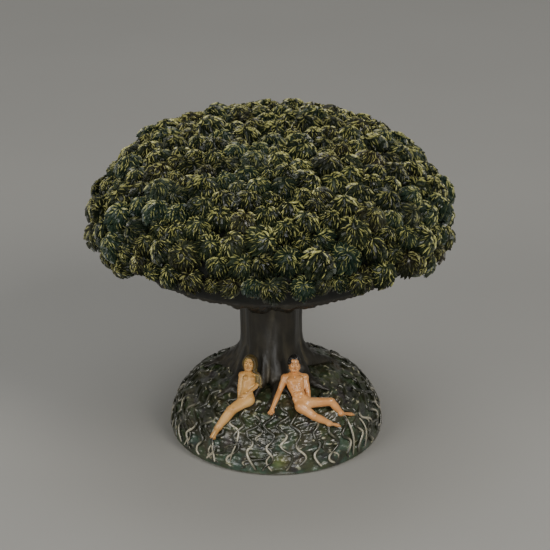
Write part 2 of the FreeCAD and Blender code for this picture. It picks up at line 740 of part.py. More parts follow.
# ---- assembly ------------------------------------------------------------------------------------------
def build():
    chance = random.Random(SEED)
    outside = mound_form(0)
    stem = trunk(outside)
    coils = buttresses(outside, stem)
    woman, woman_at = figure_parts("woman", WOMAN, long_hair, [outside, stem, *coils])
    man, man_at = figure_parts("man", MAN, cropped_hair, [outside, stem, *coils])
    pins = pins_of(woman_at) + pins_of(man_at)
    dome, dome_inner_radius = crown_dome()
    plate = crown_floor(dome_inner_radius)
    stems, forks = limbs(plate, stem)
    nodes = {
        "felt_pad": [felt_pad()],
        "base_mound": [cut_all(base_mound(outside), pins)],
        "trunk": [cut_all(stem, pins)],
        "buttress_roots": [cut_all(c, pins) for c in coils],
        "crown_dome": [dome],
        "crown_floor": [plate],
        "limbs": stems,
        "limb_forks": forks,
        "figure_pins": pins,
    }
    figures = {**woman, **man}
    roots = surface_roots([outside, *coils, *figures.values()], chance)
    nodes.update({f"roots_{side}": solids for side, solids in roots.items()})
    nodes.update({name: [cut_all(s, pins)] for name, s in figures.items()})
    nodes.update(fasteners())
    for i, row in enumerate(tuft_rows(chance)):
        nodes[f"leaf_tufts_row_{i + 1:02d}"] = row
    return nodes


def export(nodes):
    os.makedirs("parts", exist_ok=True)
    for name, shapes in nodes.items():
        solids = [s for shape in shapes for s in shape.Solids]
        whole = solids[0] if len(solids) == 1 else Part.makeCompound(solids)
        whole.exportStep(f"parts/{name}.step")
        bad = [s for s in solids if not s.isValid() or s.Volume <= 0]
        litres = sum(s.Volume for s in solids) / 1e6
        print(f"{name}: {len(solids)} solids, {litres:.5f} litres, {len(bad)} bad")


export(build())
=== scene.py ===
# %% [markdown]
# # A clay tree of life
# The object is a folk-art ornament: a domed crown of shaggy leaf tufts on a fluted trunk, which stands on a
# mound of squiggly roots, with a woman and a man leaning against its foot. It is fine clay, painted cold in
# dark greens and browns, dry-brushed with cream and yellow-green on everything that stands out, and lacquered.
#
# The CAD model holds the sizes and the places. Here every visible piece gets its modelled skin and its paint.
# Lengths are in metres, and `MM` turns millimetres into them.

# %% Load the frame
import math
import random

import bpy
import numpy as np
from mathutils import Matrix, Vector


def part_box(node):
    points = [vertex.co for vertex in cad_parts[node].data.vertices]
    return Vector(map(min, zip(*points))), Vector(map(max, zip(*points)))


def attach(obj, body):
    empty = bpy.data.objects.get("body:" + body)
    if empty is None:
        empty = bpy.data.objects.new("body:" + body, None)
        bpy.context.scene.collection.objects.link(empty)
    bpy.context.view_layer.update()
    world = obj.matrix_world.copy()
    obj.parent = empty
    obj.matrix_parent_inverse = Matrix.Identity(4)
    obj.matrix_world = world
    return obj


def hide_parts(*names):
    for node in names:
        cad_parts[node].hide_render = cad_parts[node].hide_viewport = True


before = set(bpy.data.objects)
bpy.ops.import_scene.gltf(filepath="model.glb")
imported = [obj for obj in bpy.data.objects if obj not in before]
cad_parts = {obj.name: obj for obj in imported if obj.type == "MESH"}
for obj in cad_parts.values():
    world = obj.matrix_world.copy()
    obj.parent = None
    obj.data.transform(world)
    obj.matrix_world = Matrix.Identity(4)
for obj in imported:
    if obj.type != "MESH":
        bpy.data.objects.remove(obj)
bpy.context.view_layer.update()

import openvdb
from mathutils import Matrix, Vector, noise
from mathutils.bvhtree import BVHTree
from mathutils.kdtree import KDTree

MM = 0.001

# %% [markdown]
# ## Helpers that every piece uses
# A node tree is easier to read when one small function adds a node, sets it up and links it. Colours are
# picked as sRGB hex values, as on a paint chart, and Blender mixes them as linear light, so one function
# turns one into the other.


# %% Colours and nodes
def linear(hex_colour):
    """An sRGB hex colour as linear RGBA."""
    parts = [int(hex_colour[i : i + 2], 16) / 255 for i in (1, 3, 5)]
    return (*[p / 12.92 if p <= 0.04045 else ((p + 0.055) / 1.055) ** 2.4 for p in parts], 1.0)


def wire(tree, node, inputs):
    """Gives a node's sockets their values, or links them to other sockets; returns the node."""
    for key, value in dict(inputs).items():
        if isinstance(value, bpy.types.NodeSocket):
            tree.links.new(value, node.inputs[key])
        else:
            node.inputs[key].default_value = value
    return node


def add_node(tree, kind, inputs=(), **settings):
    """Adds a node. settings are its properties; inputs are for its sockets."""
    node = tree.nodes.new(kind)
    for name, value in settings.items():
        setattr(node, name, value)
    return wire(tree, node, inputs)


def result(tree, kind, inputs=(), **settings):
    """Adds a node and returns its first output."""
    return add_node(tree, kind, inputs, **settings).outputs[0]


def ramp(tree, factor, *stops):
    """A colour ramp from (place, hex colour) stops; returns its colour."""
    node = add_node(tree, "ShaderNodeValToRGB", {"Fac": factor})
    elements = node.color_ramp.elements
    while len(elements) < len(stops):
        elements.new(0.5)
    for element, (place, colour) in zip(elements, stops):
        element.position = place
        element.color = linear(colour)
    return node.outputs["Color"]


def mottle(tree, size_mm, detail, **more):
    """Noise in the object's own space with features about so many mm across; returns its value."""
    place = add_node(tree, "ShaderNodeTexCoord").outputs["Object"]
    values = {"Vector": place, "Scale": 1 / (size_mm * MM), "Detail": detail, **more}
    return add_node(tree, "ShaderNodeTexNoise", values).outputs["Fac"]


def new_material(name):
    """A material, its tree and its shader."""
    material = bpy.data.materials.new(name)
    material.use_nodes = True
    return material, material.node_tree, material.node_tree.nodes["Principled BSDF"]


def node_group(name, **inputs):
    """A Geometry Nodes tree with named inputs, given as name=kind, and the sockets they arrive at."""
    tree = bpy.data.node_groups.new(name, "GeometryNodeTree")
    for label, kind in {**inputs, "Paint": "Material"}.items():
        tree.interface.new_socket(label, in_out="INPUT", socket_type="NodeSocket" + kind)
    tree.interface.new_socket("Made", in_out="OUTPUT", socket_type="NodeSocketGeometry")
    return tree, add_node(tree, "NodeGroupInput").outputs


def close_group(tree, geometry, paint):
    """Ends a tree: its instances are made real and painted."""
    real = result(tree, "GeometryNodeRealizeInstances", {0: geometry})
    add_node(tree, "NodeGroupOutput", {0: result(tree, "GeometryNodeSetMaterial", {0: real, "Material": paint})})
    return tree


def named(tree, name, kind="FLOAT"):
    """An attribute of the geometry, inside a Geometry Nodes tree."""
    return result(tree, "GeometryNodeInputNamedAttribute", {"Name": name}, data_type=kind)


# %% Meshes
def new_object(name, data):
    """An object in the scene that shows a mesh, a light or a camera."""
    made = bpy.data.objects.new(name, data)
    bpy.context.scene.collection.objects.link(made)
    return made


def mesh_object(name, points, faces, smooth=True, edges=()):
    """A new object from points in metres and lists of corner indices."""
    mesh = bpy.data.meshes.new(name)
    mesh.from_pydata([tuple(p) for p in points], edges, [tuple(f) for f in faces])
    mesh.validate()
    if smooth:
        mesh.shade_smooth()
    return new_object(name, mesh)


def set_attribute(piece, name, values):
    """Stores a number or a vector on every point of a piece, for a material or a node group to read."""
    values = np.asarray(values, dtype=np.float32)
    kind, field = ("FLOAT", "value") if values.ndim == 1 else ("FLOAT_VECTOR", "vector")
    data = piece.data.attributes.new(name, kind, "POINT").data
    data.foreach_set(field, values.ravel())


def points_of(piece):
    """A piece's points as an array of rows."""
    flat = np.empty(3 * len(piece.data.vertices))
    piece.data.vertices.foreach_get("co", flat)
    return flat.reshape(-1, 3)


def finish_piece(piece, material, slot, *nodes):
    """Paints a piece, rides it on the one body and lets it stand for its CAD nodes."""
    piece.data.materials.clear()
    piece.data.materials.append(material)
    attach(piece, "root")
    if nodes:
        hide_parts(*nodes)
    print(piece.name, len(piece.data.polygons), "faces for", ", ".join(nodes) or "no node")


# %% [markdown]
# ## Places
# The mound's outline is a superellipse: its radius, height and middle are read from the CAD node's box. The
# function `ground` then gives the height of its surface anywhere, and the figures and roots stand on it.

# %% The mound's outline and the dome's skin
mound_low, mound_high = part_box("base_mound")
MOUND_RADIUS = (mound_high[0] - mound_low[0]) / 2
MOUND_MIDDLE = (mound_high[0] + mound_low[0]) / 2
MOUND_FOOT = mound_low[2]
MOUND_APEX = 47.0 * MM  # its top is under the trunk, so the box stops a little short of it
MOUND_FULLNESS = 2.3  # 2 would be an ellipse
TRUNK_RADIUS = 20.0 * MM


def ground(x, y, lift=0.0):
    """Height of the mound's surface over a point, in metres."""
    share = min(1.0, math.hypot(x - MOUND_MIDDLE, y) / MOUND_RADIUS)
    rise = (1 - share**MOUND_FULLNESS) ** (1 / MOUND_FULLNESS)
    return MOUND_FOOT + (MOUND_APEX - MOUND_FOOT) * rise + lift


def mound_point(t, theta, lift=0.0):
    """Point and outward normal of the mound; t runs from the rim at 0 to the apex at a quarter turn."""

    def outline(u):
        u = min(max(u, 1e-4), math.pi / 2 - 1e-4)
        r = MOUND_RADIUS * math.cos(u) ** (2 / MOUND_FULLNESS)
        return np.array([r, (MOUND_APEX - MOUND_FOOT) * math.sin(u) ** (2 / MOUND_FULLNESS)])

    (r, z), (r0, z0), (r1, z1) = outline(t), outline(t - 1e-3), outline(t + 1e-3)
    length = math.hypot(r1 - r0, z1 - z0)
    n_r, n_z = (z1 - z0) / length, (r0 - r1) / length
    c, s = math.cos(theta), math.sin(theta)
    at = Vector((MOUND_MIDDLE + (r + lift * n_r) * c, (r + lift * n_r) * s, MOUND_FOOT + z + lift * n_z))
    return at, Vector((n_r * c, n_r * s, n_z))


dome_tree = BVHTree.FromPolygons(
    [v.co.copy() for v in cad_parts["crown_dome"].data.vertices],
    [tuple(p.vertices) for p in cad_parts["crown_dome"].data.polygons],
)
mound_sizes = (MOUND_RADIUS, MOUND_MIDDLE, MOUND_FOOT)
print("mound radius, middle and foot in mm:", [round(v / MM, 2) for v in mound_sizes])

# %% [markdown]
# ## Paint
# Every surface is a dark ground coat with lighter paint dragged over whatever stands out, which is called dry
# brushing, and a coat of lacquer. A mask of noise breaks the dragged paint up, because the brush skips. The
# pieces carry an attribute called `crest`, 1 where the surface stands proud and 0 in its hollows, and the
# masks start from it. On the roots, the leaf tufts, the mound and the skin the lighter paint is also painted
# highlight, and the skin's hollows and some patches of the crown are painted shade.


# %% One painted finish
CLOUD_MM = 12  # width of the ground coat's clouds, which also vary its sheen
RELIEF_MM = 1.5  # width of the marks that the brush leaves in the paint


def painted(name, base, dry, cover, streak_mm, roughness, lacquer, bump_mm, tints=()):
    """A lacquered paint over clay.

    base: the ground colour over the surface, as ramp stops on a soft noise. dry: the dry-brushed colours, as
    ramp stops; on some pieces they are also painted highlight. cover: the crest from which the brush catches,
    and the one at which it covers. tints: (attribute, hex colour, strength) washes over all of it, some of them
    painted shade.
    """
    material, tree, shader = new_material(name)
    crest = add_node(tree, "ShaderNodeAttribute", attribute_name="crest").outputs["Fac"]
    clouds = mottle(tree, CLOUD_MM, 4.0)
    skips = mottle(tree, streak_mm, 5.0, Roughness=0.7)
    # the crest, broken by as much as a quarter either way where the brush skips
    broken = result(tree, "ShaderNodeMath", {0: skips, 1: -0.5, 2: crest}, operation="MULTIPLY_ADD")
    shifted = result(tree, "ShaderNodeMath", {0: broken, 1: 0.25}, operation="ADD")
    limits = {"Value": shifted, "From Min": cover[0], "From Max": cover[1]}
    catch = result(tree, "ShaderNodeMapRange", limits, interpolation_type="SMOOTHSTEP")
    layers = {0: catch, 6: ramp(tree, clouds, *base), 7: ramp(tree, skips, *dry)}
    colour = add_node(tree, "ShaderNodeMix", layers, data_type="RGBA").outputs[2]
    for attribute, wash, strength in tints:
        mask = add_node(tree, "ShaderNodeAttribute", attribute_name=attribute).outputs["Fac"]
        share = result(tree, "ShaderNodeMath", {0: mask, 1: strength}, operation="MULTIPLY")
        layers = {0: share, 6: colour, 7: linear(wash)}
        colour = add_node(tree, "ShaderNodeMix", layers, data_type="RGBA").outputs[2]
    relief = {"Height": mottle(tree, RELIEF_MM, 3.0), "Strength": 0.6, "Distance": bump_mm * MM}
    sheen = {"Value": clouds, "To Min": roughness - 0.08, "To Max": roughness + 0.12}
    values = {
        "Base Color": colour,
        "Roughness": result(tree, "ShaderNodeMapRange", sheen),
        "Normal": result(tree, "ShaderNodeBump", relief),
        "IOR": 1.5,
        "Coat Weight": lacquer,
        "Coat Roughness": 0.18,
    }
    wire(tree, shader, values)
    return material


# %% The finishes
# Leaf paint: near-black green, dry-brushed yellow-green to cream along each blade, with painted highlight on the
# tufts' tops and painted shade in dark patches.
leaf_paint = painted(
    "dry_brushed_leaf_paint",
    base=((0.30, "#10160C"), (0.52, "#232D1D"), (0.75, "#38442F")),
    dry=((0.34, "#7C8050"), (0.50, "#B8B766"), (0.62, "#EAE6AC")),
    cover=(0.38, 0.72),
    streak_mm=1.1,
    roughness=0.40,
    lacquer=0.3,
    bump_mm=0.15,
    tints=(("teal", "#33564C", 0.28), ("brown", "#5E4C3A", 0.26), ("shade", "#10150C", 0.62)),
)
# Bark paint: black-brown with a low sheen, rubbed a little lighter on the ridges.
bark_paint = painted(
    "satin_bark_paint",
    base=((0.30, "#17150F"), (0.55, "#26231A"), (0.78, "#353023")),
    dry=((0.35, "#454030"), (0.70, "#6A6350")),
    cover=(0.44, 1.00),
    streak_mm=4.0,
    roughness=0.46,
    lacquer=0.15,
    bump_mm=0.25,
)
# Mound paint: dark moss green and brown under a thick gloss, with cream caught on the lumps, partly dry brush
# and partly painted highlight standing for glints of light.
mound_paint = painted(
    "glossy_ground_paint",
    base=((0.30, "#1D2115"), (0.50, "#2D3120"), (0.66, "#403C2A"), (0.80, "#4C4130")),
    dry=((0.35, "#8A886A"), (0.70, "#D0CBAA")),
    cover=(0.71, 1.02),
    streak_mm=2.0,
    roughness=0.30,
    lacquer=0.7,
    bump_mm=0.35,
    tints=(
        ("moss", "#3F5534", 0.40),
        ("teal", "#54786A", 0.30),
        ("plum", "#3A2C42", 0.35),
        ("lime", "#8C9A3C", 0.55),
    ),
)
# Root paint: the mound's own dark coat, with a cream line dragged along the top of each root, which also stands
# for the light on it: painted highlight.
root_paint = painted(
    "cream_brushed_root_paint",
    base=((0.30, "#1C2016"), (0.60, "#343627"), (0.80, "#454231")),
    dry=((0.30, "#7E7A66"), (0.55, "#C4BEA8"), (0.72, "#F0ECDC")),
    cover=(0.44, 0.95),
    streak_mm=2.0,
    roughness=0.28,
    lacquer=0.7,
    bump_mm=0.2,
)
# Crown paint: near-black painted shade on the dome, which is seen only in the gaps between the tufts.
crown_shade_paint = painted(
    "dark_crown_paint",
    base=((0.30, "#050604"), (0.60, "#0C1009"), (0.80, "#15140C")),
    dry=((0.35, "#20281A"), (0.70, "#3A3A22")),
    cover=(0.80, 1.30),
    streak_mm=3.0,
    roughness=0.80,
    lacquer=0.0,
    bump_mm=0.4,
)
print("paints:", [m.name for m in bpy.data.materials])

# %% [markdown]
# ## The leaf tufts
# Each tuft on the real crown is a ball of clay whose whole surface is combed into drooping leaf blades. The
# CAD has a plain lump for each one. A few tufts are modelled here, and Geometry Nodes set one of them on each
# lump's seat, turned at random and leaning half way between the dome's normal and straight up, because the
# blades hang.

# %% One tuft of drooping leaves
CORE = 0.84  # the ball under the leaves, of the tuft's radius
LEAF_ROOT = 0.83  # a leaf's two edges run at this radius, just in the ball's skin
LEAF_LIFT = 0.98  # its ridge, where it starts
LEAF_FLICK = 0.07  # how much further out its tip stands
LEAF_STEPS = 3
TUFT_SHAPES = 6  # different tufts, of which each seat gets one
# degrees down from the top at which each tier starts, and how many leaves it has
TIERS = ((2, 7), (16, 13), (30, 18), (44, 22), (58, 24), (74, 24), (90, 20))


def tuft_model(name, chance):
    """A ball of radius 1 under tiers of leaves that fall from its top; crest is 1 along each ridge."""
    points, faces, crest = [], [], []
    # the ball
    rings, around = 6, 12
    for i in range(rings + 1):
        for j in range(around):
            points.append(sphere_point(CORE, math.pi * i / rings, 2 * math.pi * j / around))
            crest.append(0.0)
    for i in range(0, rings * around, around):
        for j in range(around):
            k = (j + 1) % around
            faces.append((i + j, i + around + j, i + around + k, i + k))
    # the leaves; turn, start and length are angles round and down the ball, the rest shares of its radius
    for tier, (down, leaves) in enumerate(TIERS):
        for leaf in range(leaves):
            turn = 2 * math.pi * (leaf + chance.uniform(-0.45, 0.45)) / leaves
            start = math.radians(max(1.0, down + chance.uniform(-10, 12)))
            length = math.radians(chance.uniform(22, 40))
            curl = chance.uniform(-0.9, 0.9) if tier < 2 else chance.uniform(-0.22, 0.22)
            width = chance.uniform(0.055, 0.095)
            lift = LEAF_LIFT + chance.uniform(-0.07, 0.10)
            flick = LEAF_FLICK * chance.uniform(0.3, 1.4)
            # leaves near the top catch more of the dry brush, and are lighter still as painted highlight where
            # the light falls
            bright = chance.uniform(0.40, 1.1) * (1.16 - 0.095 * tier)
            first = len(points)
            for step in range(LEAF_STEPS + 1):
                k = step / LEAF_STEPS
                polar, heading = start + length * k, turn + curl * k * k
                half = width * math.sin(math.pi * (0.18 + 0.74 * k)) if step < LEAF_STEPS else 0.01
                side = Vector((-math.sin(heading), math.cos(heading), 0)) * half
                edge = Vector(sphere_point(LEAF_ROOT + 0.6 * flick * k, polar, heading))
                ridge = sphere_point(lift + flick * k, polar, heading)
                points += [tuple(edge + side), ridge, tuple(edge - side)]
                crest += [0.0, bright * math.sin(math.pi * (0.15 + 0.7 * k)), 0.0]
            for step in range(LEAF_STEPS):
                a, b = first + 3 * step, first + 3 * (step + 1)
                faces += [(a, a + 1, b + 1, b), (a + 1, a + 2, b + 2, b + 1), (a + 2, a, b, b + 2)]
            faces += [(first + 2, first + 1, first), tuple(first + 3 * LEAF_STEPS + i for i in range(3))]
    tuft = mesh_object(name, points, faces, smooth=False)
    set_attribute(tuft, "crest", crest)
    return tuft


def sphere_point(radius, polar, turn):
    """A point on a sphere, polar down from its top."""
    return (
        radius * math.sin(polar) * math.cos(turn),
        radius * math.sin(polar) * math.sin(turn),
        radius * math.cos(polar),
    )


tuft_chance = random.Random(3)
tuft_shapes = bpy.data.collections.new("tuft_shapes")
for number in range(TUFT_SHAPES):
    shape = tuft_model(f"tuft_shape_{number}", tuft_chance)
    bpy.context.scene.collection.objects.unlink(shape)
    tuft_shapes.objects.link(shape)


# %% Read the CAD lumps' seats
def islands(node):
    """The separate solids of a CAD node, as (points, triangle centres, triangle areas)."""
    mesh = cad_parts[node].data
    raw = points_of(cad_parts[node])
    keys = {}
    merged = np.array([keys.setdefault(tuple(np.round(p / (0.001 * MM)).astype(int)), len(keys)) for p in raw])
    owner = list(range(len(keys)))

    def root(i):
        while owner[i] != i:
            owner[i] = owner[owner[i]]
            i = owner[i]
        return i

    triangles = np.array([tuple(p.vertices) for p in mesh.polygons])
    for a, b, c in merged[triangles]:
        owner[root(a)] = root(b)
        owner[root(b)] = root(c)
    labels = np.array([root(m) for m in merged])
    found = []
    for label in np.unique(labels):
        mine = triangles[labels[triangles[:, 0]] == label]
        corners = raw[mine]
        area = np.linalg.norm(np.cross(corners[:, 1] - corners[:, 0], corners[:, 2] - corners[:, 0]), axis=1)
        found.append((raw[labels == label], corners.mean(axis=1), area))
    return found


def tuft_seats(node):
    """For each lump of a node: its seat on the dome, the dome's normal there, its radius and its height."""
    seats = []
    for cloud, centres, areas in islands(node):
        middle = Vector((centres * areas[:, None]).sum(axis=0) / areas.sum())
        seat = dome_tree.find_nearest(middle)[0]
        normal = (middle - seat).normalized()
        along = (cloud - np.array(seat)) @ np.array(normal)
        across = np.linalg.norm((cloud - np.array(seat)) - along[:, None] * np.array(normal), axis=1)
        seats.append((seat, normal, across.max(), along.max()))
    return seats


# %% Set a tuft on every seat
RIM_TUFTS, FRONT_TUFTS = 152 * MM, -66 * MM  # tufts seated below the one and in front of the other hang
RIM_HANG = 3.5 * MM  # how far they hang
TUFT_TILT = 0.30  # spread of the lean from one tuft to the next
TUFT_REACH = 0.52  # a tuft's height above its middle, of the lump's height
TUFT_CROWDING = 1.27  # the blades of neighbours push into each other


def tuft_tree():
    """Geometry Nodes: an instance of a tuft shape on each point, by its own axis, size and turn."""
    tree, given = node_group("set_tufts", Points="Geometry", Shapes="Collection", Crowding="Float", Seed="Int")
    values = {"Max": (0, 0, 2 * math.pi), "Seed": given["Seed"]}
    spin = result(tree, "FunctionNodeRandomValue", values, data_type="FLOAT_VECTOR")
    values = {"Vector": named(tree, "axis", "FLOAT_VECTOR")}
    lean = result(tree, "FunctionNodeAlignRotationToVector", values, axis="Z")
    spun = result(tree, "FunctionNodeRotateRotation", {0: lean, 1: spin}, rotation_space="LOCAL")
    values = {0: named(tree, "size", "FLOAT_VECTOR"), "Scale": given["Crowding"]}
    scale = result(tree, "ShaderNodeVectorMath", values, operation="SCALE")
    values = {0: given["Shapes"], "Separate Children": True, "Reset Children": True}
    shapes = result(tree, "GeometryNodeCollectionInfo", values)
    values = {4: 0, 5: TUFT_SHAPES - 1, "Seed": given["Seed"]}
    pick = add_node(tree, "FunctionNodeRandomValue", values, data_type="INT").outputs[2]
    values = {
        "Points": result(tree, "GeometryNodeMeshToPoints", {"Mesh": given["Points"]}),
        "Instance": shapes,
        "Pick Instance": True,
        "Instance Index": pick,
        "Rotation": spun,
        "Scale": scale,
    }
    return close_group(tree, result(tree, "GeometryNodeInstanceOnPoints", values), given["Paint"])


def apply_tree(piece, tree, values, name):
    """Runs a Geometry Nodes tree on an object and keeps the result as a plain mesh object."""
    modifier = piece.modifiers.new("build", "NODES")
    modifier.node_group = tree
    for item in tree.interface.items_tree:
        if item.in_out == "INPUT" and item.name in values:
            modifier[item.identifier] = values[item.name]
    bpy.context.view_layer.update()
    evaluated = piece.evaluated_get(bpy.context.evaluated_depsgraph_get())
    mesh = bpy.data.meshes.new_from_object(evaluated)
    piece.modifiers.clear()
    bpy.data.objects.remove(piece)
    mesh.name = name
    return new_object(name, mesh)


tufts_tree = tuft_tree()
tuft_nodes = sorted(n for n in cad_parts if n.startswith("leaf_tufts_row_"))
colour_chance = random.Random(11)
for number, node in enumerate(tuft_nodes):
    seats = tuft_seats(node)
    centres, leans, sizes, teal, brown, shade = [], [], [], [], [], []
    for seat, normal, radius, height in seats:
        tilt = Vector([colour_chance.gauss(0, TUFT_TILT) for _ in range(3)])
        leans.append((normal * 0.55 + Vector((0, 0, 0.75)) + tilt).normalized())
        sizes.append((radius, radius, (radius + TUFT_REACH * height) / 2))
        # the lowest tufts in front hang over the edge of the floor
        hang = Vector((0, 0, -RIM_HANG if seat.z < RIM_TUFTS and seat.y < FRONT_TUFTS else 0))
        centres.append(seat + normal * (colour_chance.uniform(0.10, 0.38) * height) + hang)
        # teal lies in patches as wide as three tufts, brown here and there and along the rim
        patch = noise.noise(seat / (34 * MM))
        teal.append(min(0.8, max(0.0, 1.8 * patch + colour_chance.uniform(-0.5, 0.3))))
        brown.append(max(0.0, colour_chance.uniform(-1.2, 0.6)) + (0.3 if number < 2 else 0.0))
        # and some hollows of the crown are darkened with painted shade
        dark = noise.noise(seat / (17 * MM) + Vector((40, 0, 0)))
        shade.append(min(1.0, max(0.0, 2.0 * dark + colour_chance.uniform(-0.5, 0.3))))
    spots = mesh_object(f"spots_{number}", centres, [])
    marks = {"axis": leans, "size": sizes, "teal": teal, "brown": brown, "shade": shade}
    for name, values in marks.items():
        set_attribute(spots, name, values)
    values = {"Shapes": tuft_shapes, "Crowding": TUFT_CROWDING, "Seed": number, "Paint": leaf_paint}
    tufts = apply_tree(spots, tufts_tree, values, f"shaggy_tufts_{number + 1:02d}")
    finish_piece(tufts, leaf_paint, "leaf_paint", node)

# %% [markdown]
# ## Clay to model with
# The trunk and the figures are soft shapes that run into each other, as rolls of wet clay do when they are
# pressed together. Boxes and tubes can't be pressed together, but distances can: a grid of samples holds how
# far each one is from the surface, and a smooth minimum of two such grids has a fillet where they meet. The
# surface is then read back off the grid as a mesh.


# %% A block of clay
class Clay:
    """Samples of the distance to a surface, in metres; less than nothing inside it."""

    def __init__(self, low, high, voxel):
        self.voxel = voxel
        self.start = np.floor(np.array(low) / voxel).astype(int)
        shape = np.ceil(np.array(high) / voxel).astype(int) - self.start
        self.field = np.full(shape, 1.0, dtype=np.float32)

    def window(self, low, high):
        """The samples between two corners: their slices and their x, y and z."""
        first = np.clip(np.floor(np.array(low) / self.voxel).astype(int) - self.start, 0, self.field.shape)
        last = np.clip(np.ceil(np.array(high) / self.voxel).astype(int) - self.start + 1, 0, self.field.shape)
        slices = tuple(slice(a, b) for a, b in zip(first, last))
        axes = [(np.arange(a, b) + s) * self.voxel for a, b, s in zip(first, last, self.start)]
        return slices, np.meshgrid(*axes, indexing="ij", sparse=True)

    def merge(self, slices, distance, blend, carve=False):
        """Adds a shape, or cuts it away, with a fillet as wide as the blend."""
        here = self.field[slices]
        other = -distance if carve else distance
        fillet = np.clip(blend - np.abs(here - other), 0, None) ** 2 / (4 * blend)
        self.field[slices] = np.maximum(here, other) + fillet if carve else np.minimum(here, other) - fillet

    def ball(self, centre, radii, turn=None, blend=0.8, carve=False):
        """An ellipsoid, its radii and blend in mm; turn is a matrix whose columns are its axes."""
        radii, blend = [r * MM for r in radii], blend * MM
        reach = max(radii) + 2 * blend
        slices, (x, y, z) = self.window([c - reach for c in centre], [c + reach for c in centre])
        x, y, z = x - centre[0], y - centre[1], z - centre[2]
        if turn is not None:
            x, y, z = (x * turn[0][i] + y * turn[1][i] + z * turn[2][i] for i in range(3))
        a = np.sqrt((x / radii[0]) ** 2 + (y / radii[1]) ** 2 + (z / radii[2]) ** 2)
        b = np.sqrt((x / radii[0] ** 2) ** 2 + (y / radii[1] ** 2) ** 2 + (z / radii[2] ** 2) ** 2)
        self.merge(slices, a * (a - 1) / np.maximum(b, 1e-9), blend, carve)

    def coil(self, path, radii, blend=0.8, carve=False, flat=None):
        """A roll of clay along a smooth path; its radius, in mm as the blend is, eases from point to point.

        flat is an axis and the share of its thickness that the roll keeps along it.
        """
        radii, blend = [r * MM for r in radii], blend * MM
        spots, sizes = smooth_path(path, radii)
        reach = max(radii) + 2 * blend
        slices, (x, y, z) = self.window(np.min(spots, axis=0) - reach, np.max(spots, axis=0) + reach)
        nearest = np.full(self.field[slices].shape, 1.0, dtype=np.float32)
        share = 1.0
        if flat:
            axis, share = np.array(flat[0]), flat[1]
            stretch = (1 / share - 1) * axis
            height = x * axis[0] + y * axis[1] + z * axis[2]
            x, y, z = x + height * stretch[0], y + height * stretch[1], z + height * stretch[2]
            spots = [p + (p @ axis) * stretch for p in spots]
        for a, b, ra, rb in zip(spots, spots[1:], sizes, sizes[1:]):
            d = b - a
            along = sum((v - p) * q for v, p, q in zip((x, y, z), a, d)) / max(d @ d, 1e-12)
            along = np.clip(along, 0, 1)
            gap = sum((v - p - along * q) ** 2 for v, p, q in zip((x, y, z), a, d))
            nearest = np.minimum(nearest, np.sqrt(gap) - (ra + (rb - ra) * along))
        self.merge(slices, share * nearest, blend, carve)

    def solid(self, node, blend):
        """The solids of a CAD node, pressed on with a blend in mm."""
        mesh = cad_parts[node].data
        cloud = points_of(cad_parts[node])
        triangles = np.array([tuple(p.vertices) for p in mesh.polygons], dtype=np.uint32)
        grid = openvdb.FloatGrid.createLevelSetFromPolygons(
            cloud.astype(np.float64),
            triangles=triangles,
            transform=openvdb.createLinearTransform(voxelSize=self.voxel),
            halfWidth=8.0,
        )
        distance = np.zeros(self.field.shape, dtype=np.float32)
        grid.copyToArray(distance, ijk=tuple(int(v) for v in self.start))
        self.merge(tuple(slice(0, n) for n in self.field.shape), distance, blend * MM)

    def mesh(self, name):
        """The surface as an object."""
        grid = openvdb.FloatGrid(self.voxel * 8)
        grid.transform = openvdb.createLinearTransform(voxelSize=self.voxel)
        grid.copyFromArray(np.clip(self.field, -8 * self.voxel, 8 * self.voxel))
        points, _, quads = grid.convertToPolygons(isovalue=0.0, adaptivity=0.0)
        points = points + self.start * self.voxel
        # the mesher's faces look inwards, so each is turned round
        return mesh_object(name, points, quads[:, ::-1])


def smooth_path(path, radii, steps=6):
    """Points and radii along a curve through the given points."""
    path, radii = [np.array(p, dtype=float) for p in path], list(radii)
    path = [2 * path[0] - path[1], *path, 2 * path[-1] - path[-2]]
    spots, sizes = [], []
    for i in range(1, len(path) - 2):
        p0, p1, p2, p3 = path[i - 1 : i + 3]
        slope, bend, twist = p2 - p0, 2 * p0 - 5 * p1 + 4 * p2 - p3, 3 * p1 - p0 - 3 * p2 + p3
        for j in range(steps):
            k = j / steps
            spots.append(0.5 * (2 * p1 + slope * k + bend * k**2 + twist * k**3))
            ease = k * k * (3 - 2 * k)
            sizes.append(radii[i - 1] + (radii[i] - radii[i - 1]) * ease)
    return [*spots, path[-2]], [*sizes, radii[-1]]


# %% What stands proud
def neighbours(piece):
    """The two ends of each edge of a piece, as rows of point numbers."""
    pairs = np.empty(2 * len(piece.data.edges), dtype=np.int64)
    piece.data.edges.foreach_get("vertices", pairs)
    return pairs.reshape(-1, 2)


def spread_out(values, pairs, rounds):
    """Values averaged with their neighbours' over and over."""
    count = np.zeros(len(values))
    np.add.at(count, pairs[:, 0], 1)
    np.add.at(count, pairs[:, 1], 1)
    for _ in range(rounds):
        total = np.zeros_like(values)
        np.add.at(total, pairs[:, 0], values[pairs[:, 1]])
        np.add.at(total, pairs[:, 1], values[pairs[:, 0]])
        mean = total / np.maximum(count, 1).reshape(-1, *[1] * (values.ndim - 1))
        values = (values + mean) / 2
    return values


def normals_of(piece):
    """The normal at each point of a piece, as rows."""
    flat = np.empty(3 * len(piece.data.vertices))
    piece.data.vertex_normals.foreach_get("vector", flat)
    return flat.reshape(-1, 3)


def mark_crest(piece, rounds, span_mm):
    """Stores crest, 1 where the surface stands a span above its smoothed self, and hollow, 1 a span below."""
    cloud = points_of(piece)
    above = ((cloud - spread_out(cloud, neighbours(piece), rounds)) * normals_of(piece)).sum(axis=1)
    set_attribute(piece, "crest", np.clip(0.5 + above / (2 * span_mm * MM), 0, 1))
    set_attribute(piece, "hollow", np.clip(-above / (span_mm * MM), 0, 1))


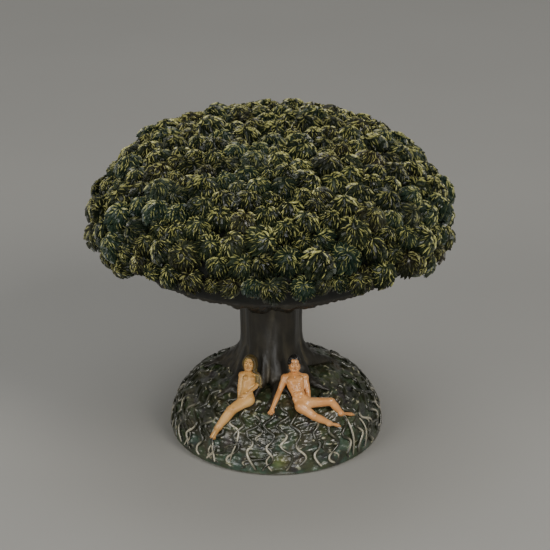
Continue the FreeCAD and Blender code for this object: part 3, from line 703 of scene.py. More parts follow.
def press(piece, amount):
    """Moves every point along its normal by an amount in metres, one for each."""
    moved = points_of(piece) + normals_of(piece) * np.asarray(amount)[:, None]
    piece.data.vertices.foreach_set("co", moved.ravel())
    piece.data.update()


def roughness_at(cloud, grain, seed, octaves=3):
    """Fractal noise from about -1 to 1 at each point; grain is its size in metres along x, y and z."""
    turned = cloud / np.array(grain) + seed * 17.3
    return np.array([noise.fractal(Vector(p), 0.9, 2.1, octaves) for p in turned])


# %% [markdown]
# ## The trunk and the underside of the crown
# The CAD trunk and its buttress coils are turned to clay and pressed together with a broad fillet. Long folds
# of bark are then pressed in: noise that is a few millimetres wide and many times as tall. The floor of the
# crown is pressed onto the limbs in the same way.

# %% Trunk
FOLDS, CREASES, KNOTS = 0.7 * MM, 0.2 * MM, 0.9 * MM  # how deep each goes; the knots are low on the trunk
trunk_clay = Clay((-50 * MM, -50 * MM, 26 * MM), (50 * MM, 50 * MM, 124 * MM), 0.75 * MM)
trunk_clay.solid("trunk", blend=0.1)
trunk_clay.solid("buttress_roots", blend=5)
groove = [np.array(p) * MM for p in ((-1, -30, 44), (-2, -23, 62), (0, -22.5, 86), (1, -26, 112))]
trunk_clay.coil(groove, [4.5, 3.6, 3.4, 4.5], blend=4, carve=True)
# three ridges of bark run down between the figures onto the ground
for turn, far in ((-101, 40), (-89, 44), (-78, 39)):
    ridge = []
    for r, lift in ((13, 38), (20, 14), (27, 1.6), (33, 0.6), (far, -0.8)):
        x, y = r * MM * math.cos(math.radians(turn)), r * MM * math.sin(math.radians(turn))
        turn += 1.5 if turn > -90 else -1.5
        ridge.append((x, y, ground(x, y, lift * MM)))
    trunk_clay.coil(ridge, [3.4, 3.6, 3.2, 2.2, 1.0], blend=3.5)
bark = trunk_clay.mesh("bark")
cloud = points_of(bark)
folds = roughness_at(cloud, (9 * MM, 9 * MM, 70 * MM), seed=1)
creases = roughness_at(cloud, (3.0 * MM, 3.0 * MM, 26 * MM), seed=2)
low_down = np.clip((50 * MM - cloud[:, 2]) / (12 * MM), 0, 1)
knots = roughness_at(cloud, (6 * MM, 6 * MM, 5 * MM), seed=8)
press(bark, FOLDS * folds + CREASES * creases + KNOTS * low_down * knots)
mark_crest(bark, rounds=90, span_mm=0.9)
finish_piece(bark, bark_paint, "bark_paint", "trunk", "buttress_roots")

# %% Underside of the crown
# The floor of the crown was pressed on by hand over the limbs, which run out through it as soft ridges.
PATS, THUMBS, SUNK = 1.6 * MM, 0.7 * MM, 0.4 * MM  # marks of hand and thumb, and how far all is sunk
under = Clay((-112 * MM, -112 * MM, 96 * MM), (112 * MM, 112 * MM, 156 * MM), 1.0 * MM)
for node, blend in (("crown_floor", 0.1), ("limbs", 4), ("limb_forks", 4)):
    under.solid(node, blend)
underside = under.mesh("limbed_underside")
cloud = points_of(underside)
pats = roughness_at(cloud, (11 * MM, 11 * MM, 11 * MM), seed=9)
thumbs = roughness_at(cloud, (4.5 * MM, 4.5 * MM, 4.5 * MM), seed=10)
edge = np.clip((147 * MM - cloud[:, 2]) / (8 * MM), 0, 1)
press(underside, edge * (PATS * pats + THUMBS * thumbs - SUNK))
mark_crest(underside, rounds=30, span_mm=0.7)
finish_piece(underside, bark_paint, "bark_paint", "crown_floor", "limbs", "limb_forks")

# %% [markdown]
# ## The roots
# Each CAD root is a plain coil on the mound. Its middle line is read off the solid and given the kinks of a
# real root, and most fork on their way to the rim. Geometry Nodes sweep a round section along every line.


# %% Read the CAD roots' lines
def mound_place(at):
    """(t, theta) of the point of the mound that lies under a point."""
    r = math.hypot(at[0] - MOUND_MIDDLE, at[1])
    up = max(0.0, at[2] - MOUND_FOOT) / (MOUND_APEX - MOUND_FOOT)
    t = math.atan2(up ** (MOUND_FULLNESS / 2), (r / MOUND_RADIUS) ** (MOUND_FULLNESS / 2))
    return t, math.atan2(at[1], at[0] - MOUND_MIDDLE)


def root_line(cloud, steps=7):
    """A root's line as (t, theta) from its thick end down to the rim."""
    places = np.array([mound_place(p) for p in cloud])
    edges = np.linspace(places[:, 0].max(), places[:, 0].min(), steps + 1)
    line = []
    for high, low in zip(edges, edges[1:]):
        inside = places[(places[:, 0] <= high + 1e-6) & (places[:, 0] >= low - 1e-6)]
        if len(inside):
            turn = math.atan2(np.sin(inside[:, 1]).mean(), np.cos(inside[:, 1]).mean())
            line.append(((high + low) / 2, turn))
    return line


# %% Kinks and forks
ROOT_BEND = 2.9 * MM  # how far a root swings to each side
ROOT_WAVE = 15 * MM  # from one swing to the next


def add_root(roots, line, thick, thin, chance):
    """Adds a root along (t, theta) places, swinging sideways, to the list of (points, radii, ups, wear)."""
    ends = [mound_point(*line[0])[0], mound_point(*line[-1])[0]]
    run = (ends[1] - ends[0]).length
    count = max(6, int(run / (2.2 * MM)))
    waves = max(1.3, run / ROOT_WAVE)
    phase, slip = chance.uniform(0, 2 * math.pi), 0.0
    patch = chance.uniform(0, 2 * math.pi)
    points, radii, ups, wear = [], [], [], []
    # swing is the regular wave, slip the hand's drift from it
    for i in range(count + 1):
        k = i / count
        where = k * (len(line) - 1)
        j = min(int(where), len(line) - 2)
        t, theta = (a + (b - a) * (where - j) for a, b in zip(line[j], line[j + 1]))
        slip += chance.uniform(-1, 1) * 0.7 * MM - 0.3 * slip
        swing = ROOT_BEND * min(1.0, 0.3 + 4 * k) * math.sin(phase + 2 * math.pi * k * waves) + slip
        reach = MOUND_RADIUS * math.cos(min(t, 1.5)) ** (2 / MOUND_FULLNESS)
        radius = (thick + (thin - thick) * k) * chance.uniform(0.85, 1.15)
        at, up = mound_point(t, theta + swing / max(reach, 10 * MM), lift=0.15 * radius)
        points.append(at)
        radii.append(radius)
        ups.append(up)
        # how much of the painted highlight on the root's top shows: little near the trunk, more towards the rim,
        # in patches
        wear.append(min(1.0, max(0.05, 0.10 + 0.75 * k + 0.35 * math.sin(patch + 11 * k))))
    roots.append((points, radii, ups, wear))


def forked(line, chance):
    """A side root: it leaves a line part way down and swings off sideways."""
    start = chance.randrange(1, len(line) - 2)
    swing = chance.choice((-1, 1)) * chance.uniform(0.16, 0.30)
    rest = line[start:]
    return [(t, theta + swing * (i / (len(rest) - 1)) ** 0.7) for i, (t, theta) in enumerate(rest)]


def root_tree():
    """Geometry Nodes: a round section swept along each line, with crest 1 along its top: a painted highlight
    where the light falls, scaled by the highlight share.
    """
    tree, given = node_group("sweep_roots", Lines="Geometry", Step="Float")
    curves = result(tree, "GeometryNodeMeshToCurve", {"Mesh": given["Lines"]})
    rounded = result(tree, "GeometryNodeCurveSplineType", {"Curve": curves}, spline_type="CATMULL_ROM")
    values = {"Curve": rounded, "Length": given["Step"]}
    evenly = result(tree, "GeometryNodeResampleCurve", values, mode="LENGTH")
    radius = named(tree, "thickness")
    sized = result(tree, "GeometryNodeSetCurveRadius", {"Curve": evenly, "Radius": radius})
    section = result(tree, "GeometryNodeCurvePrimitiveCircle", {"Resolution": 9, "Radius": 1.0})
    values = {"Curve": sized, "Profile Curve": section, "Scale": radius, "Fill Caps": True}
    swept = result(tree, "GeometryNodeCurveToMesh", values)
    # the part of each root that faces up gets the cream line: painted highlight
    values = {0: result(tree, "GeometryNodeInputNormal"), 1: named(tree, "up", "FLOAT_VECTOR")}
    facing_up = add_node(tree, "ShaderNodeVectorMath", values, operation="DOT_PRODUCT").outputs["Value"]
    top = result(tree, "ShaderNodeMapRange", {"Value": facing_up, "From Min": 0.0, "From Max": 0.9})
    crest = result(tree, "ShaderNodeMath", {0: top, 1: named(tree, "wear")}, operation="MULTIPLY")
    values = {"Geometry": swept, "Name": "crest", "Value": crest}
    kept = result(tree, "GeometryNodeStoreNamedAttribute", values, data_type="FLOAT", domain="POINT")
    return close_group(tree, kept, given["Paint"])


MAIN_ROOT, SIDE_ROOT = (1.3 * MM, 0.95 * MM), (1.0 * MM, 0.7 * MM)  # radii at a root's two ends
sweep = root_tree()
root_chance = random.Random(5)
root_spots = []
for side in ("front", "left", "back", "right"):
    node = f"roots_{side}"
    roots = []
    for cloud, _, _ in islands(node):
        line = root_line(cloud)
        turns = [theta for _, theta in line]
        # coils that run round the mound, or are too short to bend, are left to the mound itself
        short = len(line) < 4 or line[0][0] - line[-1][0] < 0.25
        if short or max(turns) - min(turns) > 0.6:
            continue
        line.append((0.04, line[-1][1]))
        add_root(roots, line, *MAIN_ROOT, root_chance)
        if root_chance.random() < 0.6 and line[0][0] - line[-1][0] > 0.6:
            add_root(roots, forked(line, root_chance), *SIDE_ROOT, root_chance)
    points = [p for root in roots for p in root[0]]
    edges, first = [], 0
    for root in roots:
        edges += [(first + i, first + i + 1) for i in range(len(root[0]) - 1)]
        first += len(root[0])
    lines = mesh_object(f"root_lines_{side}", points, [], edges=edges)
    for column, name in enumerate(("thickness", "up", "wear"), 1):
        set_attribute(lines, name, [value for root in roots for value in root[column]])
    root_spots += points
    swept = apply_tree(lines, sweep, {"Step": 0.9 * MM, "Paint": root_paint}, f"squiggly_roots_{side}")
    swept.data.shade_smooth()
    finish_piece(swept, root_paint, "root_paint", node)

# %% [markdown]
# ## The mound
# The CAD mound is a smooth dome. The real one was modelled with the fingers: it has folds that run down from
# the trunk, lumps of a few millimetres, and it rises a little towards every root that lies on it. It is a grid
# over the same outline, with each point moved along its normal.

# %% Mound
MOUND_ROWS, MOUND_TURNS = 150, 460
SWELLS, LUMPS, DENTS, SUNK = 1.5 * MM, 1.3 * MM, 0.30 * MM, 0.8 * MM  # heights, and how far all is sunk
ROOT_RISE = 0.8 * MM  # how far the mound comes up to a root
points, faces = [], []
for i in range(MOUND_ROWS + 1):
    for j in range(MOUND_TURNS):
        at, _ = mound_point(math.pi / 2 * (i / MOUND_ROWS) ** 1.15, 2 * math.pi * j / MOUND_TURNS)
        points.append(at)
for i in range(0, MOUND_ROWS * MOUND_TURNS, MOUND_TURNS):
    for j in range(MOUND_TURNS):
        k = (j + 1) % MOUND_TURNS
        faces.append((i + j, i + k, i + MOUND_TURNS + k, i + MOUND_TURNS + j))
faces.append(tuple(range(MOUND_TURNS - 1, -1, -1)))
faces.append(tuple(MOUND_ROWS * MOUND_TURNS + j for j in range(MOUND_TURNS)))
earth = mesh_object("rooted_mound", points, faces)
cloud = points_of(earth)
near = KDTree(len(root_spots))
for i, spot in enumerate(root_spots):
    near.insert(spot, i)
near.balance()
gap = np.array([near.find(Vector(p))[2] for p in cloud])
angle = np.arctan2(cloud[:, 1], cloud[:, 0] - MOUND_MIDDLE)
reach = np.hypot(cloud[:, 0] - MOUND_MIDDLE, cloud[:, 1])
slope = reach - cloud[:, 2]
# the fingers pushed the clay sideways, so its lumps are a little wider than they are high
girth = 45 * MM
around = np.stack([np.cos(angle) * girth, np.sin(angle) * girth, slope], axis=1)
lumps = roughness_at(around, (8 * MM, 8 * MM, 6 * MM), seed=3)
broad = roughness_at(cloud, (13 * MM, 13 * MM, 13 * MM), seed=4)
dents = roughness_at(around, (3.2 * MM, 3.2 * MM, 2.4 * MM), seed=5)
seated = np.clip((cloud[:, 2] - MOUND_FOOT) / (4 * MM), 0, 1)
rise = ROOT_RISE * np.exp(-((gap / (2.0 * MM)) ** 2))
press(earth, seated * (rise + SWELLS * broad + LUMPS * lumps + DENTS * dents - SUNK))
mark_crest(earth, rounds=16, span_mm=0.5)
# front is 1 on the low front of the mound, where there is more of the teal wash
front = np.clip((-cloud[:, 1] - 20 * MM) / (30 * MM), 0, 1)
front = front * np.clip((26 * MM - cloud[:, 2]) / (12 * MM), 0, 1)
for wash, grain, more in (("moss", 14, 0.25), ("teal", 7, -0.45), ("plum", 11, -0.5)):
    cloudy = roughness_at(cloud, (grain * MM,) * 3, seed=6 + grain)
    if wash == "teal":
        cloudy, more = cloudy * (0.4 + 0.6 * front), more + 0.6 * front
    set_attribute(earth, wash, np.clip(2.4 * cloudy + more, 0, 1))
lime_spot = np.linalg.norm(cloud - np.array((5 * MM, -66 * MM, 9 * MM)), axis=1)
set_attribute(earth, "lime", np.exp(-((lime_spot / (4.2 * MM)) ** 2)))
finish_piece(earth, mound_paint, "mound_paint", "base_mound")

# %% [markdown]
# ## The two figures
# Each figure was modelled from rolls and balls of clay. Their joints are given from where they lean on the
# trunk, and the sculpting follows a life class: a flattened roll for the trunk of the body, tapered rolls for
# the limbs, balls for the muscles, small rolls for fingers, and balls for toes.

# %% Where the joints are
# (across, out, lift) in mm: across to the viewer's right and out from where the figure leans on the trunk, and
# lift above the mound there. A figure's own right side comes first in each pair.
WOMAN = {
    "head": (-8.9, 9.0, 17.6),
    "neck": (-9.6, 10.6, 12.8),
    "chest": (-9.6, 14.6, 9.5),
    "waist": (-10.7, 18.6, 6.7),
    "pelvis": (-11.0, 23.2, 4.0),
    "shoulders": ((-14.0, 12.0, 12.4), (-4.4, 11.5, 10.2)),
    "elbows": ((-15.4, 15.6, 7.9), (-3.4, 16.6, 7.2)),
    "hands": ((-15.7, 21.1, 3.6), (-11.4, 23.5, 8.0)),
    "hips": ((-13.1, 23.6, 3.8), (-9.0, 24.0, 3.9)),
    "knees": ((-21.6, 28.4, 5.8), (-19.2, 29.0, 5.0)),
    "ankles": ((-30.6, 31.6, 2.8), (-28.8, 32.4, 2.4)),
    "toes": ((-34.0, 32.3, 1.9), (-32.2, 33.7, 1.6)),
}
MAN = {
    "head": (6.8, 11.6, 17.8),
    "neck": (6.8, 12.8, 12.8),
    "chest": (7.4, 17.8, 8.9),
    "waist": (9.0, 22.8, 6.0),
    "pelvis": (12.2, 29.6, 4.4),
    "shoulders": ((0.8, 14.0, 8.8), (13.2, 14.0, 10.4)),
    "elbows": ((-2.6, 18.8, 3.8), (15.4, 19.8, 5.6)),
    "hands": ((-7.6, 30.5, 1.6), (15.8, 27.8, 1.6)),
    "hips": ((10.8, 30.4, 4.6), (15.0, 27.6, 5.0)),
    "knees": ((19.4, 34.6, 5.2), (30.4, 21.8, 5.0)),
    "ankles": ((29.8, 32.4, 2.4), (37.4, 23.2, 2.4)),
    "toes": ((35.2, 30.2, 1.8), (44.0, 18.8, 1.7)),
}


def joints_of(figure, leans_at):
    """The figure's joints in metres; leans_at is the angle round the trunk in degrees."""
    lean = math.radians(leans_at)

    def point(across, out, lift):
        x = TRUNK_RADIUS * math.cos(lean) + across * MM
        y = TRUNK_RADIUS * math.sin(lean) - out * MM
        return Vector((x, y, ground(x, y, lift * MM)))

    return {
        name: [point(*v) for v in value] if isinstance(value[0], tuple) else point(*value)
        for name, value in figure.items()
    }


def axes(side, up):
    """Side, front and up of a body part, square to each other; front comes out of the chest or the face."""
    up = up.normalized()
    front = side.cross(up).normalized()
    return up.cross(front), front, up


def turned(side, front, up):
    """The matrix whose columns are the three."""
    return Matrix((side, front, up)).transposed()


woman_at, man_at = joints_of(WOMAN, -105), joints_of(MAN, -66)
print("heads in mm:", [[round(c / MM, 1) for c in at["head"]] for at in (woman_at, man_at)])


# %% Hands and feet
def model_hand(clay, wrist, ahead, palm_up, size=1.0):
    """A flattened palm with four fingers and a thumb."""
    ahead = ahead.normalized()
    side = ahead.cross(palm_up).normalized()
    palm_up = side.cross(ahead).normalized()
    mm = size * MM
    palm = wrist + ahead * 1.7 * mm
    widths = (1.05 * size, 1.45 * size, 1.3 * size)
    clay.coil([wrist, palm, palm + ahead * 1.1 * mm], widths, flat=(palm_up, 0.6))
    for i, (spread, length) in enumerate(((-1.15, 1.9), (-0.4, 2.4), (0.38, 2.3), (1.12, 1.7))):
        root = palm + ahead * 1.0 * mm + side * spread * mm
        heading = (ahead + side * (0.16 * spread)).normalized()
        middle = root + heading * length * 0.6 * mm + palm_up * 0.2 * mm
        tip = root + heading * length * mm - palm_up * 0.35 * mm
        clay.coil([root, middle, tip], [0.5 * size, 0.46 * size, 0.36 * size], blend=0.25)
    thumb = palm - side * 1.0 * mm - ahead * 0.6 * mm
    clay.coil(
        [thumb, thumb - side * 0.9 * mm + ahead * 0.9 * mm, thumb - side * 1.1 * mm + ahead * 1.9 * mm],
        [0.62 * size, 0.52 * size, 0.4 * size],
        blend=0.4,
    )


def model_foot(clay, ankle, toes, sole_down, size=1.0):
    """A wedge from the heel to the ball of the foot, with five toes."""
    mm = size * MM
    ahead = (toes - ankle).normalized()
    side = ahead.cross(sole_down).normalized()
    down = side.cross(ahead).normalized()
    if down.dot(sole_down) < 0:
        down = -down
    heel = ankle + down * 0.7 * mm - ahead * 0.8 * mm
    ball = toes - ahead * 0.6 * mm + down * 0.25 * mm
    arch = heel.lerp(ball, 0.5) - down * 0.35 * mm
    clay.ball(heel, (1.35 * size,) * 3, blend=0.9)
    clay.coil([heel, arch, ball], [1.35 * size, 1.35 * size, 1.6 * size], blend=0.9, flat=(down, 0.72))
    for i in range(5):
        spread = (i - 2) * 0.62
        reach = 1.25 - 0.16 * i
        radius = 0.58 - 0.05 * i
        tip = ball + ahead * reach * mm + side * spread * mm + down * 0.3 * mm
        clay.coil([ball + side * spread * mm, tip], [0.5 * size, radius * size], blend=0.3)


# %% The body
BODY_VOXEL = 0.24 * MM


def model_body(name, at, torso, arm, leg, hands, muscled):
    """Trunk, neck, arms and legs as one piece of clay; the radii are in mm, from the top down."""
    joints = [p for value in at.values() for p in (value if isinstance(value, list) else [value])]
    clay = Clay(np.min(joints, axis=0) - 8 * MM, np.max(joints, axis=0) + 8 * MM, BODY_VOXEL)
    shoulder = at["shoulders"][0].lerp(at["shoulders"][1], 0.5)
    side, front, up = axes(at["shoulders"][1] - at["shoulders"][0], at["neck"] - at["waist"])
    _, low_front, _ = axes(at["hips"][1] - at["hips"][0], at["waist"] - at["pelvis"])
    turn = turned(side, front, up)
    clay.coil([at["pelvis"], at["waist"], at["chest"], shoulder], torso, blend=1.2, flat=(front, 0.68))
    clay.coil(at["shoulders"], [arm[0], arm[0]], blend=1.5)
    neck = 0.36 * torso[3]
    neck_end = at["neck"].lerp(at["head"], 0.5)
    clay.coil([shoulder, at["neck"], neck_end], [1.15 * neck, neck, neck], blend=1.3)
    for i in (0, 1):
        out = side if i else -side
        joint = at["shoulders"][i]
        clay.coil([at["neck"], joint - out * MM + up * 0.6 * MM], [1.0, 1.0], blend=1.2)
        inner = shoulder + front * 1.2 * MM + up * 0.9 * MM  # the collar bone's ends
        outer = joint + front * 0.6 * MM + up * 1.0 * MM
        clay.coil([inner, outer], [0.4, 0.3], blend=0.9)
        elbow, hand = at["elbows"][i], at["hands"][i]
        clay.ball(joint + out * 0.2 * MM, (1.12 * arm[0],) * 3, blend=1.0)
        clay.coil([joint, joint.lerp(elbow, 0.5), elbow], [arm[0], 0.96 * arm[0], arm[1]], blend=0.6)
        clay.coil([elbow, elbow.lerp(hand, 0.35), hand], [arm[1], 1.05 * arm[1], arm[2]], blend=0.5)
        heading, palm_up = hands[i]
        model_hand(clay, hand, Vector(heading), Vector(palm_up), arm[2] / 1.3)
        hip, knee, ankle, toes = (at[k][i] for k in ("hips", "knees", "ankles", "toes"))
        clay.coil([hip, hip.lerp(knee, 0.45), knee], [leg[0], 0.5 * (leg[0] + leg[1]), leg[1]], blend=1.2)
        clay.coil([knee, knee.lerp(ankle, 0.35), ankle], [0.96 * leg[1], 0.94 * leg[1], leg[2]], blend=0.6)
        clay.ball(knee + Vector((0, -0.3, 0.8)) * leg[1] * 0.45 * MM, (0.62 * leg[1],) * 3, blend=0.9)
        down = Vector((0.05 * (toes.x - ankle.x) / MM, -0.35, -1.0))
        model_foot(clay, ankle, toes, down, leg[3] / 1.25)
    if muscled:
        for sign in (-1, 1):
            # half of the chest, three slabs of the belly and the flank
            pec = at["chest"].lerp(shoulder, 0.34) + side * sign * 2.9 * MM + front * 3.0 * MM
            clay.ball(pec, (3.0, 1.7, 2.4), turn, blend=0.8)
            for row in range(3):
                slab = at["chest"].lerp(at["waist"], 0.25 + 0.42 * row)
                slab = slab + side * sign * 1.25 * MM + front * (3.2 - 0.25 * row) * MM
                clay.ball(slab, (1.4, 0.6, 1.1), turn, blend=1.0)
            flank = at["waist"].lerp(at["pelvis"], 0.4) + side * sign * 3.4 * MM + front * 1.4 * MM
            clay.ball(flank, (1.5, 1.3, 2.0), turn, blend=0.8)
        groove = [at["chest"].lerp(shoulder, 0.75) + front * 4.1 * MM, at["waist"] + front * 3.8 * MM]
        clay.coil(groove, [0.42, 0.25], blend=0.7, carve=True)
    else:
        for sign in (-1, 1):
            breast = at["chest"].lerp(shoulder, 0.25) + side * sign * 2.3 * MM + front * 2.5 * MM
            clay.ball(breast, (1.9, 1.6, 1.8), turn, blend=1.1)
    navel = at["waist"].lerp(at["pelvis"], 0.45) + (front + low_front) * 1.7 * MM
    clay.ball(navel, (0.4, 0.5, 0.5), blend=0.5, carve=True)
    body = clay.mesh(name)
    mark_crest(body, rounds=30, span_mm=0.32)
    return body


# %% The head
FACE_VOXEL, HAIR_VOXEL, CROP_VOXEL = 0.15 * MM, 0.2 * MM, 0.18 * MM


def head_box(at):
    """Two corners of the block of clay that the head needs."""
    return at["head"] - Vector((8, 8, 8)) * MM, at["head"] + Vector((8, 8, 8)) * MM


def facing(at, look):
    """The head's axes as a matrix, and a function for a point so many mm to its side, front and top."""
    up = (at["head"] - at["neck"]).normalized()
    front = Vector(look)
    front = (front - up * front.dot(up)).normalized()
    side = up.cross(front)

    def spot(s, f, u):
        return at["head"] + (side * s + front * f + up * u) * MM

    return turned(side, front, up), spot


def model_head(name, at, look, broad):
    """A calm, general face: eyes at half the head's height, nose and mouth below them by thirds.

    look is the way that it faces, and broad widens the jaw and brow.
    """
    clay = Clay(*head_box(at), FACE_VOXEL)
    turn, spot = facing(at, look)

    def ball(where, radii, blend, carve=False):
        clay.ball(spot(*where), radii, turn, blend, carve)

    def coil(path, radii, blend, carve=False):
        clay.coil([spot(*p) for p in path], radii, blend, carve)

    # the skull, the face's mask, the chin and the neck
    ball((0, -0.5, 0.9), (3.5, 4.1, 4.1), 0.3)
    ball((0, 0.7, -1.3), (2.75 * broad, 3.0, 3.7), 1.2)
    ball((0, 2.7, -4.2), (1.15 * broad, 0.95, 0.8), 1.3)
    coil([(0, -0.6, -2.0), (0, -1.0, -5.6)], [1.9 * broad, 1.8 * broad], 1.0)
    for s in (-1, 1):
        # on each side: the jaw, the cheek, the brow, the socket with the eye in it, and its two lids
        coil([(s * 2.7 * broad, 0.4, -2.6), (s * 1.6 * broad, 2.2, -4.1)], [0.9, 0.8], 1.2)
        ball((s * 1.9, 2.5, -1.2), (1.2, 1.0, 1.0), 1.2)
        coil([(s * 0.4, 3.75, 1.0), (s * 1.4, 3.75, 1.2), (s * 2.5, 2.9, 0.8)], [0.4 * broad, 0.42, 0.3], 0.6)
        ball((s * 1.4, 4.1, 0.1), (0.95, 0.8, 0.6), 0.5, carve=True)
        ball((s * 1.4, 2.95, 0.1), (0.75, 0.75, 0.7), 0.1)
        for lid, drop in ((0.42, 0.0), (-0.32, -0.1)):
            coil([(s * 0.7, 3.35, drop), (s * 1.4, 3.72, lid), (s * 2.15, 3.2, drop)], [0.12, 0.2, 0.12], 0.12)
        # the wing of the nose and the ear
        ball((s * 0.55, 3.95, -1.75), (0.36, 0.45, 0.34), 0.3)
        coil([(s * 3.5, -0.4, 1.0), (s * 3.75, -0.9, 0.1), (s * 3.45, -0.3, -1.3)], [0.4, 0.5, 0.35], 0.35)
    # the bridge of the nose, the two lips and the line between them
    coil([(0, 3.75, 0.7), (0, 4.2, -0.6), (0, 4.7, -1.5)], [0.34, 0.38, 0.46], 0.5)
    coil([(-1.0, 3.45, -2.85), (0, 4.05, -2.62), (1.0, 3.45, -2.85)], [0.16, 0.3, 0.16], 0.3)
    coil([(-0.85, 3.4, -3.0), (0, 3.95, -3.2), (0.85, 3.4, -3.0)], [0.16, 0.34, 0.16], 0.3)
    coil([(-1.05, 3.85, -2.9), (0, 4.4, -2.93), (1.05, 3.85, -2.9)], [0.14, 0.16, 0.14], 0.1, carve=True)
    head = clay.mesh(name)
    mark_crest(head, rounds=24, span_mm=0.25)
    cloud = points_of(head)

    def near(spots, radius):
        gaps = [np.linalg.norm(cloud - np.array(spot(*p)), axis=1) for p in spots]
        return np.exp(-((np.min(gaps, axis=0) / (radius * MM)) ** 4))

    arc = np.linspace(-0.8, 0.8, 7)
    out = np.linspace(0.7, 2.3, 7)
    brow_arc = [(s * k, 4.1 - 0.22 * k * k, 1.2 + 0.1 * k) for s in (-1, 1) for k in out]
    set_attribute(head, "lips", near([(k, 4.1 - 0.5 * abs(k), -2.92) for k in arc], 0.42))
    set_attribute(head, "brows", near(brow_arc, 0.36))
    set_attribute(head, "eyes", near([(s * 1.42, 3.75, 0.05) for s in (-1, 1)], 0.36))
    return head


# %% Hair
LONG_LOCKS, BACK_LOCKS, CURLS = 22, 17, 90


def model_waves(name, at, look):
    """Long hair, parted in the middle: over the left shoulder, and down the back on the right."""
    turn, spot = facing(at, look)
    reach = [at["head"] + Vector(v) * MM for v in ((-9, -9, -9), (9, 9, 9))]
    reach += [at["elbows"][1] - Vector((4, 4, 6)) * MM, at["elbows"][1] + Vector((5, 5, 5)) * MM]
    clay = Clay(np.min(reach, axis=0), np.max(reach, axis=0), HAIR_VOXEL)
    clay.ball(spot(0, -1.0, 1.2), (4.0, 4.3, 4.5), turn)
    chance = random.Random(21)
    shoulder, elbow = at["shoulders"][1], at["elbows"][1]
    body_side = (at["shoulders"][1] - at["shoulders"][0]).normalized()
    for i in range(LONG_LOCKS):
        k = i / (LONG_LOCKS - 1)
        back = 2.7 - 6.2 * k
        wave = chance.uniform(0.5, 1.1) * (-1) ** i
        # from the parting over the temple and down in front of the shoulder
        lock = [
            spot(0.3, back + 0.3, 4.75 - 0.05 * back * back),
            spot(2.5, back * 0.95 + 0.4, 4.2 - 0.06 * back * back),
            spot(3.9, back * 0.8 + 0.8, 1.4),
            spot(4.3 + wave * 0.4, back * 0.7 + 1.0, -1.6),
            spot(4.2 - wave * 0.5, back * 0.6 + 1.3, -4.6),
        ]
        over = shoulder + body_side * (1.9 - 3.2 * k) * MM + Vector((0, -2.9 + 3.0 * k, 1.7)) * MM
        low = shoulder.lerp(elbow, 0.6) + body_side * (2.2 - 3.0 * k + wave) * MM
        low = low + Vector((0, -3.0 + 2.6 * k, 0.7)) * MM
        tip = shoulder.lerp(elbow, chance.uniform(0.9, 1.25)) + body_side * (1.6 - 1.8 * k - wave) * MM
        tip = tip + Vector((0, -2.4 + 2.2 * k, 0)) * MM
        clay.coil([*lock, over, low, tip], (0.55, 0.65, 0.65, 0.7, 0.7, 0.65, 0.6, 0.3), blend=0.10)
    for i in range(BACK_LOCKS):
        k = i / (BACK_LOCKS - 1)
        back = 2.5 - 6.0 * k
        wave = chance.uniform(0.2, 0.5) * (-1) ** i
        # from the parting round the other side to the back of the neck
        lock = [
            spot(-0.3, back + 0.3, 4.75 - 0.05 * back * back),
            spot(-2.5, back * 0.95, 4.1 - 0.06 * back * back),
            spot(-3.85, back * 0.75 - 0.3, 1.2),
            spot(-3.9 - wave * 0.4, back * 0.55 - 0.6, -1.6),
            spot(-3.3 + wave * 0.4, back * 0.35 - 1.5, -4.2),
            spot(-2.9, back * 0.3 - 2.2, -6.6 - wave),
        ]
        clay.coil(lock, (0.55, 0.65, 0.65, 0.65, 0.6, 0.3), blend=0.10)
    hair = clay.mesh(name)
    mark_crest(hair, rounds=10, span_mm=0.2)
    return hair


def model_crop(name, at, look):
    """Short hair: a cap with small curls combed forward from the crown."""
    turn, spot = facing(at, look)
    side, front, up = turn.col
    clay = Clay(*head_box(at), CROP_VOXEL)
    centre = spot(0, -1.0, 1.0)
    clay.ball(centre, (3.95, 4.25, 4.4), turn)
    chance = random.Random(31)
    for i in range(CURLS):
        polar = math.acos(1 - 1.15 * (i + 0.5) / CURLS)
        heading = i * math.pi * (3 - math.sqrt(5))
        path = []
        for step in range(3):
            p, t = polar + 0.16 * step, heading + 0.14 * step * chance.choice((-1, 1))
            out = side * math.sin(p) * math.cos(t) * 3.9 + front * math.sin(p) * math.sin(t) * 4.25
            path.append(centre + (out + up * math.cos(p) * 4.45) * MM)
        tip = path[2] - at["head"]
        if tip.dot(front) > 1.6 * MM and tip.dot(up) < 2.7 * MM:
            continue  # the hairline: no curl falls over the forehead
        clay.coil(path, [0.5, 0.55, 0.3], blend=0.2)
    hair = clay.mesh(name)
    mark_crest(hair, rounds=10, span_mm=0.2)
    return hair


# %% Skin and hair paint
# Skin is a satin flesh paint with brown painted shade in the hollows and a paler coat on what stands out, which
# is painted highlight.
face_tints = (
    # painted shade in the hollows
    ("hollow", "#6B3F1E", 0.62),
    ("lips", "#9A4A34", 0.45),
    ("brows", "#3A2412", 0.55),
    ("eyes", "#2A1C12", 0.8),
)
pale_skin = painted(
    "satin_pale_skin_paint",
    base=((0.30, "#CE9A56"), (0.52, "#DEAC66"), (0.75, "#ECC17C")),
    dry=((0.35, "#F2CE90"), (0.70, "#FCE4B0")),
    cover=(0.50, 0.85),
    streak_mm=1.6,
    roughness=0.42,
    lacquer=0.25,
    bump_mm=0.05,
    tints=face_tints,
)
tan_skin = painted(
    "satin_tan_skin_paint",
    base=((0.30, "#DA9654"), (0.52, "#E8A868"), (0.75, "#F2B87A")),
    dry=((0.35, "#F8CC98"), (0.70, "#FFE6C4")),
    cover=(0.50, 0.85),
    streak_mm=1.6,
    roughness=0.32,
    lacquer=0.7,
    bump_mm=0.05,
    tints=face_tints,
)
